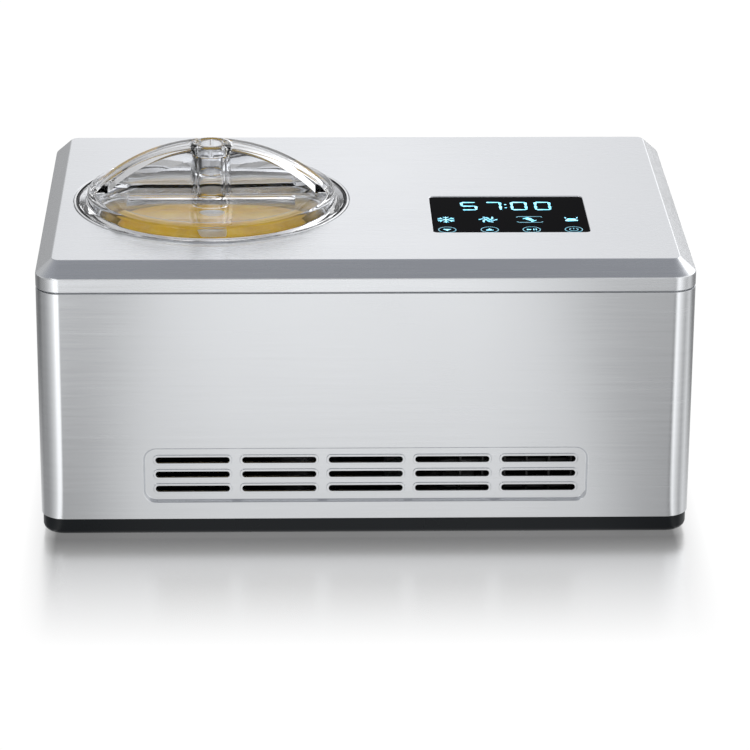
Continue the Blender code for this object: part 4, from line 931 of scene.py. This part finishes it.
def symbols(height):
    """The time, the four signs under it and the marks in the four keys."""
    bright = []
    for figure, x in (("5", -25.6), ("7", -9.2), ("0", 7.9), ("0", 23.8)):
        bright += digit(figure, x, 18.2, height)
    for y in (21.4, 14.6):
        bright.append(bar((-1.9, y), (-0.1, y), 1.6, height))
    y = -10.1
    x = -42.2
    for turn in range(0, 180, 60):
        ray = [(x + s * 6.2 * math.cos(math.radians(turn + 90)),
                y + s * 6.2 * math.sin(math.radians(turn + 90))) for s in (-1, 1)]
        bright.append(bar(ray[0], ray[1], 0.9, height))
    for turn in range(30, 390, 60):
        out = Vector((math.cos(math.radians(turn)), math.sin(math.radians(turn))))
        side = Vector((-out.y, out.x))
        root = Vector((x, y)) + out * 3.4
        for sign in (-1, 1):
            bright.append(bar(root, root + out * 2.0 + side * sign * 1.9, 0.8, height))
    x = -14.3
    for turn in range(0, 360, 60):
        points = []
        for step in range(5):
            angle = math.radians(turn + step * 16)
            reach = 0.8 + step * 1.35
            points.append((x + reach * math.cos(angle), y + reach * math.sin(angle)))
        bright += strokes(points, 1.35, height)
    x = 13.3
    bright += strokes([(x - 2.2, y + 3.4), (x + 2.6, y - 3.4)], 4.2, height)
    bright += strokes([(x - 4.4, y + 1.4), (x - 0.6, y + 4.6)], 1.2, height)
    bright += strokes([(x + 0.8, y - 4.6), (x + 4.4, y - 1.6)], 1.2, height)
    dim = []
    for sign in (-1, 1):
        dim += strokes(
            [(x - 8.6, y + sign * 4.4), (x - 7.4, y + sign * 6.0), (x + 7.4, y + sign * 6.0),
             (x + 8.6, y + sign * 4.4)], 0.9, height)
    x = 41.0
    bright += strokes([(x - 4.4, y - 2.2), (x + 4.4, y - 2.2)], 3.6, height)
    bright += strokes([(x - 3.2, y + 0.2), (x + 3.2, y + 0.2)], 3.6, height)
    bright += strokes([(x - 3.6, y + 2.0), (x - 4.2, y + 4.6)], 0.9, height)
    bright += strokes([(x + 3.6, y + 2.0), (x + 4.2, y + 4.6)], 0.9, height)
    y = -30.9
    for x in (-42.2, -14.3, 13.3, 41.0):
        points = arc((x, y), 5.7, 0, 360, 28)
        dim += strokes(points, 0.75, height)
    for x, sign in ((-42.2, -1), (-14.3, 1)):
        bright += strokes([(x - 2.6, y - sign * 0.9), (x + 2.6, y - sign * 0.9)], 1.4, height)
        bright += strokes([(x - 1.4, y + sign * 0.3), (x + 1.4, y + sign * 0.3)], 1.3, height)
        bright += strokes([(x - 0.6, y + sign * 1.5), (x + 0.6, y + sign * 1.5)], 1.1, height)
    x = 13.3
    bright += strokes([(x - 2.6, y + 1.3), (x - 2.6, y - 1.3)], 1.3, height)
    bright += strokes([(x - 2.0, y), (x - 0.2, y)], 1.6, height)
    bright += strokes([(x + 1.4, y + 1.6), (x + 1.4, y - 1.6)], 0.8, height)
    bright += strokes([(x + 3.0, y + 1.6), (x + 3.0, y - 1.6)], 0.8, height)
    x = 41.0
    dim += strokes(arc((x, y), 2.8, 125, 290, 14), 0.8, height)
    dim += strokes([(x, y + 0.4), (x, y + 3.4)], 0.8, height)
    return bright, dim


class CASE_OT_window(bpy.types.Operator):
    """Model the black glass of the touch window with its lit time, signs and keys"""

    bl_idname = "icemaker.window"
    bl_label = "Touch window"

    def execute(self, context):
        glass = rounded_block("window_glass", WINDOW_LOW, WINDOW_HIGH, 3.0 * MM, 2, 8)
        soften(glass, 0.25 * MM, 2, 40)
        settle(glass, finish("window_black"), "housing", "black_glass", "display_window", flat=True)
        height = WINDOW_HIGH.z + 0.05 * MM
        for name, pieces in zip(("lit_marks", "dim_marks"), symbols(height)):
            marks = joined(name, pieces)
            apply_modifier(marks, "SOLIDIFY", thickness=0.04 * MM, offset=-1.0)
            colour = finish("symbol" if name == "lit_marks" else "symbol_dim")
            settle(marks, colour, "housing", "black_glass")
        return {"FINISHED"}


# Well, bowl and lid


class CASE_OT_collar(bpy.types.Operator):
    """Model the bright collar round the well's mouth and the gasket in it"""

    bl_idname = "icemaker.collar"
    bl_label = "Collar and gasket"

    def execute(self, context):
        low, high = heights("well_collar")
        ledge = TOP / MM - 2.3
        seat = TOP / MM - 3.5
        under = TOP / MM - 1.8
        profile = [
            (81.5, ledge), (88.9, ledge), (88.9, seat), (90.9, seat), (90.9, high - 0.15),
            (91.1, high), (91.9, high), (92.2, high - 0.4), (92.2, under), (98.2, under),
            (98.2, under - 3.0), (84.5, under - 3.0), (84.5, low), (81.5, low),
        ]
        collar = turned("bright_collar", WELL, profile, 128)
        settle(collar, finish("rim_steel"), "housing", "steel", "well_collar")
        low, high = heights("collar_gasket")
        profile = [
            (89.2, low), (89.2, high - 0.4), (89.5, high - 0.1), (89.9, high),
            (90.3, high - 0.1), (90.6, high - 0.4), (90.6, low),
        ]
        gasket = turned("soft_gasket", WELL, profile, 128)
        settle(gasket, finish("gasket_black"), "housing", "rubber", "collar_gasket")
        return {"FINISHED"}


class CASE_OT_bowl(bpy.types.Operator):
    """Model the lift-out steel bowl with its rolled rim and hollow post"""

    bl_idname = "icemaker.bowl"
    bl_label = "Bowl"

    def execute(self, context):
        low, rim = heights("bowl")
        floor = low + 1.2
        post_top = low + 53.2
        profile = [
            (10.5, low), (68.2, low), (71.4, low + 0.8), (74.3, low + 2.8), (75.7, low + 5.2),
            (76.2, low + 8.0), (76.2, rim - 2.2), (76.8, rim - 1.7), (79.0, rim - 1.7),
            (79.7, rim - 1.4), (80.0, rim - 0.85), (79.7, rim - 0.3), (79.0, rim), (76.4, rim),
            (75.4, rim - 0.5), (75.0, rim - 1.5), (75.0, floor + 7.0), (74.5, floor + 4.5),
            (73.0, floor + 2.2), (70.8, floor + 0.6), (68.0, floor), (13.2, floor),
            (12.2, floor + 0.5), (11.7, floor + 1.5), (11.7, post_top), (10.5, post_top),
        ]
        bowl = turned("steel_bowl", WELL, profile, 112)
        settle(bowl, finish("bowl_steel"), "bowl", "steel", "bowl")
        low, high = heights("lid_seal")
        inner = 77.2
        outer = 80.5
        profile = [
            (inner, low + 0.4), (inner + 0.4, low), (outer - 0.4, low), (outer, low + 0.4),
            (outer, high - 0.3), (outer - 0.3, high), (inner + 0.3, high), (inner, high - 0.3),
        ]
        seal = turned("soft_seal", WELL, profile, 112)
        settle(seal, finish("seal_clear"), "seal_ring", "silicone", "lid_seal")
        return {"FINISHED"}


class CASE_OT_batch(bpy.types.Operator):
    """Model the paddle and the folded batch of frozen cream round it"""

    bl_idname = "icemaker.batch"
    bl_label = "Paddle and batch"

    def execute(self, context):
        self.paddle()
        self.batch()
        return {"FINISHED"}

    def paddle(self):
        low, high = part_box("paddle")
        reach = (high.x - low.x) / 2
        hub_low = low.z
        arm_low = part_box("ice_cream")[0].z + 74.4 * MM
        low, high = heights("paddle")
        socket = 12.3
        socket_top = low + 53.0
        profile = [
            (socket, low), (14.3, low), (14.3, low + 54.0), (13.2, low + 60.0), (8.0, low + 64.0),
            (6.6, low + 68.0), (6.6, high - 12.0), (9.0, high - 10.5), (10.0, high - 9.0),
            (10.0, high - 1.5), (9.4, high - 0.4), (8.4, high), (0.0, high),
            (0.0, socket_top), (socket, socket_top),
        ]
        paddle = turned("white_paddle", WELL, profile, 64)
        arms = []
        for arm in (hub_low + 0.6 * MM, arm_low):
            arms.append(block("arm", (WELL.x - reach + 4 * MM, WELL.y - 3.2 * MM, arm),
                              (WELL.x + reach - 4 * MM, WELL.y + 3.2 * MM, arm + 8 * MM)))
        for side in (-1, 1):
            inner = WELL.x + side * (reach - 11 * MM)
            outer = WELL.x + side * reach
            blade = block("blade", (min(inner, outer), WELL.y - 2.2 * MM, hub_low + 4 * MM),
                          (max(inner, outer), WELL.y + 2.2 * MM, arm_low + 14 * MM))
            with editing(blade):
                pick("EDGE", lambda edge: along(edge, 1))
                bpy.ops.mesh.bevel(offset=4 * MM, segments=4, affect="EDGES")
            arms.append(blade)
        bore = cylinder("bore", WELL, socket * MM, hub_low - 5 * MM, socket_top * MM)
        for arm in arms:
            add(paddle, arm)
        cut(paddle, bore)
        soften(paddle, 0.5 * MM, 2, 35)
        settle(paddle, finish("paddle_white"), "dasher", "white_acetal", "paddle", flat=True)

    def batch(self):
        low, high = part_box("ice_cream")
        radius = (high.x - low.x) / 2
        top = high.z + 5 * MM
        wide, foot, head = (radius / MM, low.z / MM, top / MM)
        outline = [(0.0, foot), (wide - 7.0, foot), (wide - 2.0, foot + 2.0), (wide, foot + 7.0)]
        for step in range(1, 10):
            outline.append((wide, foot + 7.0 + step * (head - foot - 16.0) / 9))
        outline += [(wide - 1.5, head - 6.0), (wide - 4.0, head - 4.4)]
        outline += [((wide - 4.0) * (1 - step / 19), head - 3.4) for step in range(1, 20)]
        cream = turned("cream_batch", WELL, outline, 128, closed=False)
        ceiling = top + 1.5 * MM
        for point in cream.data.vertices:
            place = point.co
            if place.z < top - 8 * MM:
                continue
            flat = Vector((place.x - WELL.x, place.y - WELL.y))
            ring = flat.length / radius
            swirl = math.atan2(flat.y, flat.x)
            fold = math.sin(flat.length * 210.0 - swirl * 2.0 + 2.2 * noise.noise(place * 28.0))
            lump = noise.noise(Vector((place.x * 46.0, place.y * 46.0, 3.1)))
            fine = noise.noise(Vector((place.x * 150.0, place.y * 150.0, 7.7)))
            rise = (1.5 * fold + 3.2 * lump + 0.9 * fine) * MM * (1.0 - ring ** 6)
            back_left = math.exp(-((place.x - WELL.x + 18 * MM) ** 2
                                   + (place.y - WELL.y - 40 * MM) ** 2) / (16 * MM) ** 2)
            place.z = min(ceiling, place.z + rise + back_left * 7 * MM)
        cream.data.update()
        settle(cream, finish("cream"), "dasher", "frozen_cream", "ice_cream")


def arch(name, reach, foot, top, half_width, steps=40):
    """A bar whose front view is one arc over a flat foot, across the lid from left to right."""
    rise = top - foot
    radius = (reach * reach + rise * rise) / (2 * rise)
    bpy.ops.mesh.primitive_circle_add(
        vertices=2 * steps, radius=radius, fill_type="NGON",
        location=(WELL.x, WELL.y + half_width, top - radius), rotation=(math.pi / 2, 0.0, 0.0),
    )
    piece = named(name)
    apply_place(piece)
    with editing(piece):
        select_everything()
        bpy.ops.mesh.extrude_region_move(
            TRANSFORM_OT_translate={"value": (0.0, -2 * half_width, 0.0)})
        select_everything()
        bpy.ops.mesh.bisect(
            plane_co=(WELL.x, WELL.y, foot), plane_no=(0.0, 0.0, 1.0), use_fill=True,
            clear_inner=True,
        )
        select_everything()
        bpy.ops.mesh.normals_make_consistent(inside=False)
    return piece


def lid_pocket(side, depth, floor):
    """The half-moon recess in the lid's floor, in front of the bridge or behind it."""
    pocket = cylinder("pocket", WELL, 72 * MM, floor - depth, floor + 5 * MM, sides=128)
    edge = WELL.y + side * 14.0 * MM
    cuts = (
        ((WELL.x, edge, floor), (0.0, side, 0.0)),
        ((WELL.x - 56 * MM, WELL.y, floor), (1.0, 0.0, 0.0)),
        ((WELL.x + 56 * MM, WELL.y, floor), (-1.0, 0.0, 0.0)),
    )
    with editing(pocket):
        for place, normal in cuts:
            select_everything()
            bpy.ops.mesh.bisect(plane_co=place, plane_no=normal, use_fill=True, clear_inner=True)
        pick("EDGE", lambda item: along(item, 2) and item.calc_face_angle(0.0) > 0.5)
        bpy.ops.mesh.bevel(offset=4.5 * MM, segments=6, affect="EDGES")
    return pocket


class CASE_OT_lid(bpy.types.Operator):
    """Model the clear lid with its raised floor, arched bridge and filler tube"""

    bl_idname = "icemaker.lid"
    bl_label = "Clear lid"

    def execute(self, context):
        floor = TOP + 7.4 * MM
        under = floor - 2.2 * MM
        face = floor / MM
        ceiling = under / MM
        flange_low = TOP / MM - 2.0
        flange_top = TOP / MM + 0.5
        skirt = heights("lid")[0]
        profile = [
            (0.0, face), (80.6, face), (82.0, face - 0.3), (82.8, face - 1.0), (83.1, face - 2.0),
            (83.7, flange_top + 0.6), (84.3, flange_top), (88.4, flange_top),
            (88.9, flange_top - 0.5), (88.9, flange_low + 0.3), (88.6, flange_low),
            (80.9, flange_low), (80.9, skirt + 0.4), (80.5, skirt), (79.1, skirt),
            (78.7, skirt + 0.4), (78.7, ceiling - 1.4), (78.3, ceiling - 0.4), (77.3, ceiling),
            (0.0, ceiling),
        ]
        lid = turned("clear_lid", WELL, profile, 144, closed=False)
        for side in (-1, 1):
            cut(lid, lid_pocket(side, 0.9 * MM, floor))
        soften(lid, 0.3 * MM, 2, 40)
        bridge = arch("bridge", 79.0 * MM, floor - 0.5 * MM, CAD_BOX[1].z, 11 * MM, 90)
        soften(bridge, 0.9 * MM, 3, 50)
        add(lid, bridge)
        tube_top = CAD_BOX[1].z - 7.5 * MM
        below = under - 20 * MM
        above = floor + 60 * MM
        add(lid, cylinder("tube", WELL, 13 * MM, under - 12 * MM, tube_top, sides=96))
        hollow = arch("room", 72.0 * MM, floor - 3.0 * MM, CAD_BOX[1].z - 3.2 * MM, 8.8 * MM, 80)
        cut(hollow, cylinder("keep", WELL, 12.7 * MM, below, above, sides=96))
        cut(lid, hollow)
        cut(lid, cylinder("bore", WELL, 10.3 * MM, below, above, sides=80))
        cut(lid, cylinder("seat", WELL, 14.1 * MM, tube_top, above, sides=80))
        settle(lid, finish("lid_clear"), "lid", "clear_plastic", "lid")
        self.stopper()
        return {"FINISHED"}

    def stopper(self):
        foot, head = heights("filler_stopper")
        ring = head - 7.2
        profile = [
            (0.0, foot), (9.4, foot), (10.0, foot + 0.6), (10.0, ring), (12.6, ring),
            (13.3, ring + 0.6), (13.5, ring + 1.4), (13.5, head - 2.0), (13.1, head - 1.0),
            (12.2, head - 0.2), (11.6, head), (9.2, head), (8.6, head - 0.4), (8.4, head - 1.2),
            (8.4, foot + 2.2), (7.8, foot + 1.6), (0.0, foot + 1.6),
        ]
        stopper = turned("clear_stopper", WELL, profile, 80, closed=False)
        flutes = []
        circle = 17.6 * MM
        for step in range(8):
            angle = step * math.pi / 4
            spot = WELL + Vector((math.cos(angle), math.sin(angle), 0.0)) * circle
            low = (ring - 1.0) * MM
            flutes.append(cylinder("flute", spot, 4.6 * MM, low, (head + 1.0) * MM, sides=32))
        cut(stopper, joined("flutes", flutes))
        settle(stopper, finish("lid_clear"), "stopper", "clear_plastic", "filler_stopper")


class CASE_OT_inner(bpy.types.Operator):
    """Give the pieces inside the case their finishes"""

    bl_idname = "icemaker.inner"
    bl_label = "Inner works"

    def execute(self, context):
        finishes = {
            "steel": "rim_steel", "zinc": "zinc", "black_plastic": "frame_black",
            "rubber": "foot_rubber", "black_glass": "window_black",
            "clear_plastic": "lid_clear", "copper": "copper", "alloy": "alloy", "foam": "foam",
            "white_acetal": "paddle_white", "circuit_board": "circuit",
            "black_paint": "black_paint", "frozen_cream": "cream", "silicone": "seal_clear",
        }
        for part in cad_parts.values():
            for slot in part.material_slots:
                name = slot.material.name.split(".")[0]
                if name not in finishes:
                    raise RuntimeError(f"no finish for {name}")
                slot.material = finish(finishes[name])
        for part in ("condenser_tube", "condenser_fins"):
            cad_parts[part].material_slots[0].material = finish("black_paint")
        return {"FINISHED"}


# Stage


class CASE_OT_stage(bpy.types.Operator):
    """Set the pale floor, the soft light and the camera"""

    bl_idname = "icemaker.stage"
    bl_label = "Stage"

    def execute(self, context):
        context.scene.view_settings.view_transform = "Standard"
        self.floor()
        self.sky(context)
        self.lamps(context)
        self.camera(context)
        return {"FINISHED"}

    def floor(self):
        bpy.ops.mesh.primitive_plane_add(size=60.0, location=(0.0, 0.0, 0.0))
        floor = named("pale_floor")
        material = bpy.data.materials.new("pale_floor")
        material.use_nodes = True
        tree = material.node_tree
        tree.nodes.clear()
        place = node(tree, "TexCoord").outputs["Object"]
        split = node(tree, "SeparateXYZ", {"Vector": place})
        aside = maths(tree, "ABSOLUTE", split.outputs["X"])
        ahead = maths(tree, "ABSOLUTE", split.outputs["Y"])
        beyond = maths(tree, "SUBTRACT", ahead, WRAP_HIGH.y)
        depth = ranged(tree, beyond, 0.84, 0.0, 0.0, 0.17)
        width = ranged(tree, aside, 1.0, 0.0, WRAP_HIGH.x - 0.01, WRAP_HIGH.x + 0.012)
        share = maths(tree, "MULTIPLY", depth, width)
        white = node(tree, "Emission", {"Strength": 1.02})
        gloss = node(tree, "BsdfGlossy", {"Color": (0.8, 0.8, 0.8, 1.0), "Roughness": 0.24})
        seen = node(tree, "MixShader", {0: share, 1: white.outputs[0], 2: gloss.outputs[0]})
        middle = ranged(tree, aside, 0.0, 1.0, 0.0, 0.5)
        glow = ramp(tree, middle, 1.0, 0.5, ((0.18, 1.0), (0.30, 0.90), (0.37, 0.60), (0.42, 0.50)))
        card = self.cards(tree, split, aside)
        far = ranged(tree, split.outputs["Y"], 1.2, 0.86, -0.75, -0.15)
        side = ranged(tree, split.outputs["Y"], 1.0, 0.4, -0.1, 0.1)
        far = maths(tree, "MULTIPLY", maths(tree, "MULTIPLY", far, side), card)
        light = node(tree, "Emission", {"Color": glow, "Strength": far})
        direct = node(tree, "LightPath").outputs["Is Camera Ray"]
        final = node(tree, "MixShader", {0: direct, 1: light.outputs[0], 2: seen.outputs[0]})
        out = node(tree, "OutputMaterial", {"Surface": final.outputs[0]})
        out.is_active_output = True
        floor.data.materials.append(material)

    def cards(self, tree, split, aside):
        """Light cards that fan out from the front corners, seen only as reflections."""
        corner = 8 * MM
        outside = maths(tree, "SUBTRACT", aside, WRAP_HIGH.x - corner)
        ahead = maths(tree, "SUBTRACT", WRAP_LOW.y + corner, split.outputs["Y"])
        angle = maths(tree, "MAXIMUM", maths(tree, "ARCTAN2", outside, ahead), 0.0)
        signed = maths(tree, "MULTIPLY", angle, maths(tree, "SIGN", split.outputs["X"]))
        turn = ranged(tree, signed, 0.0, 1.0, -math.pi, math.pi)
        return ramp(tree, turn, 2.6, 2.6, (
            (0.13, 1.4), (0.18, 0.8), (0.278, 0.85), (0.317, 1.05), (0.347, 1.3), (0.375, 1.6),
            (0.403, 2.0), (0.43, 2.9), (0.475, 2.9), (0.486, 1.0), (0.525, 0.9), (0.55, 0.6),
            (0.575, 2.2), (0.59, 2.7), (0.617, 2.1), (0.645, 1.7), (0.675, 1.3), (0.70, 1.1),
            (0.736, 1.6), (0.77, 2.0), (0.81, 1.7), (0.87, 1.5),
        ))

    def sky(self, context):
        world = bpy.data.worlds.new("studio")
        context.scene.world = world
        world.use_nodes = True
        tree = world.node_tree
        tree.nodes.clear()
        split = node(tree, "SeparateXYZ", {"Vector": node(tree, "TexCoord").outputs["Generated"]})
        across = ranged(tree, split.outputs["X"], 0.0, 1.0, -1.0, 1.0)
        panels = ((0.33, 0.48), (0.46, 0.90), (0.51, 1.14), (0.56, 0.82), (0.67, 1.55))
        around = ramp(tree, across, 0.7, 1.3, panels, 1.01)
        high = ranged(tree, split.outputs["Z"], 0.0, 1.0, 0.5, 0.82)
        colour = mixed(tree, high, around, (0.38, 0.39, 0.42, 1.0))
        behind = ranged(tree, split.outputs["Y"], 0.7, 1.0, -0.4, 0.0)
        strength = maths(tree, "MULTIPLY", behind, context.scene.stage_settings.brightness)
        light = node(tree, "Background", {"Color": colour, "Strength": strength})
        node(tree, "OutputWorld", {"Surface": light.outputs[0]})

    def lamps(self, context):
        strength = context.scene.stage_settings.brightness
        for name, place, power, width in (
            ("key_lamp", (-1.1, -1.5, 1.5), 5.0, 0.8),
            ("fill_lamp", (1.4, 0.9, 1.3), 3.0, 0.7),
        ):
            bpy.ops.object.light_add(type="AREA", location=place)
            lamp = context.object
            lamp.name = name
            lamp.data.shape = "RECTANGLE"
            lamp.data.size = width
            lamp.data.size_y = width * 0.7
            lamp.data.energy = power * strength
            toward = Vector((0.0, 0.0, 0.1)) - Vector(place)
            lamp.rotation_euler = toward.to_track_quat("-Z", "Y").to_euler()

    def camera(self, context):
        stage = context.scene.stage_settings
        bpy.ops.object.camera_add(location=(-0.0579, -2.3260, 0.9509))
        camera = context.object
        camera.name = "camera"
        camera.data.lens = stage.lens
        camera.data.sensor_width = 36.0
        camera.rotation_euler = (math.pi / 2 - stage.pitch, stage.roll, -stage.yaw)
        camera.data.clip_end = 200.0
        context.scene.camera = camera


class VIEW3D_PT_icemaker(bpy.types.Panel):
    """Buttons that make each piece, and the sizes and colours they use."""

    bl_idname = "VIEW3D_PT_icemaker"
    bl_label = "Ice cream maker"
    bl_space_type = "VIEW_3D"
    bl_region_type = "UI"
    bl_category = "Ice cream maker"

    def draw(self, context):
        layout = self.layout
        for operator in OPERATORS:
            layout.operator(operator.bl_idname)
        for group in ("case_sizes", "finish_colours", "stage_settings"):
            settings = getattr(context.scene, group)
            box = layout.box()
            for name in settings.bl_rna.properties.keys():
                if name not in ("rna_type", "name"):
                    box.prop(settings, name)


OPERATORS = (
    CASE_OT_stage, CASE_OT_inner, CASE_OT_wrap, CASE_OT_cover, CASE_OT_base, CASE_OT_rear,
    CASE_OT_window, CASE_OT_collar, CASE_OT_bowl, CASE_OT_batch, CASE_OT_lid,
)
SETTINGS = {
    "case_sizes": CaseSizes, "finish_colours": FinishColours, "stage_settings": StageSettings,
}


def register():
    for group in SETTINGS.values():
        bpy.utils.register_class(group)
    for name, group in SETTINGS.items():
        setattr(bpy.types.Scene, name, PointerProperty(type=group))
    for operator in OPERATORS:
        bpy.utils.register_class(operator)
    bpy.utils.register_class(VIEW3D_PT_icemaker)


def unregister():
    bpy.utils.unregister_class(VIEW3D_PT_icemaker)
    for operator in reversed(OPERATORS):
        bpy.utils.unregister_class(operator)
    for name, group in SETTINGS.items():
        delattr(bpy.types.Scene, name)
        bpy.utils.unregister_class(group)


def main():
    register()
    for operator in OPERATORS:
        family, action = operator.bl_idname.split(".")
        getattr(getattr(bpy.ops, family), action)()


if __name__ == "__main__":
    main()
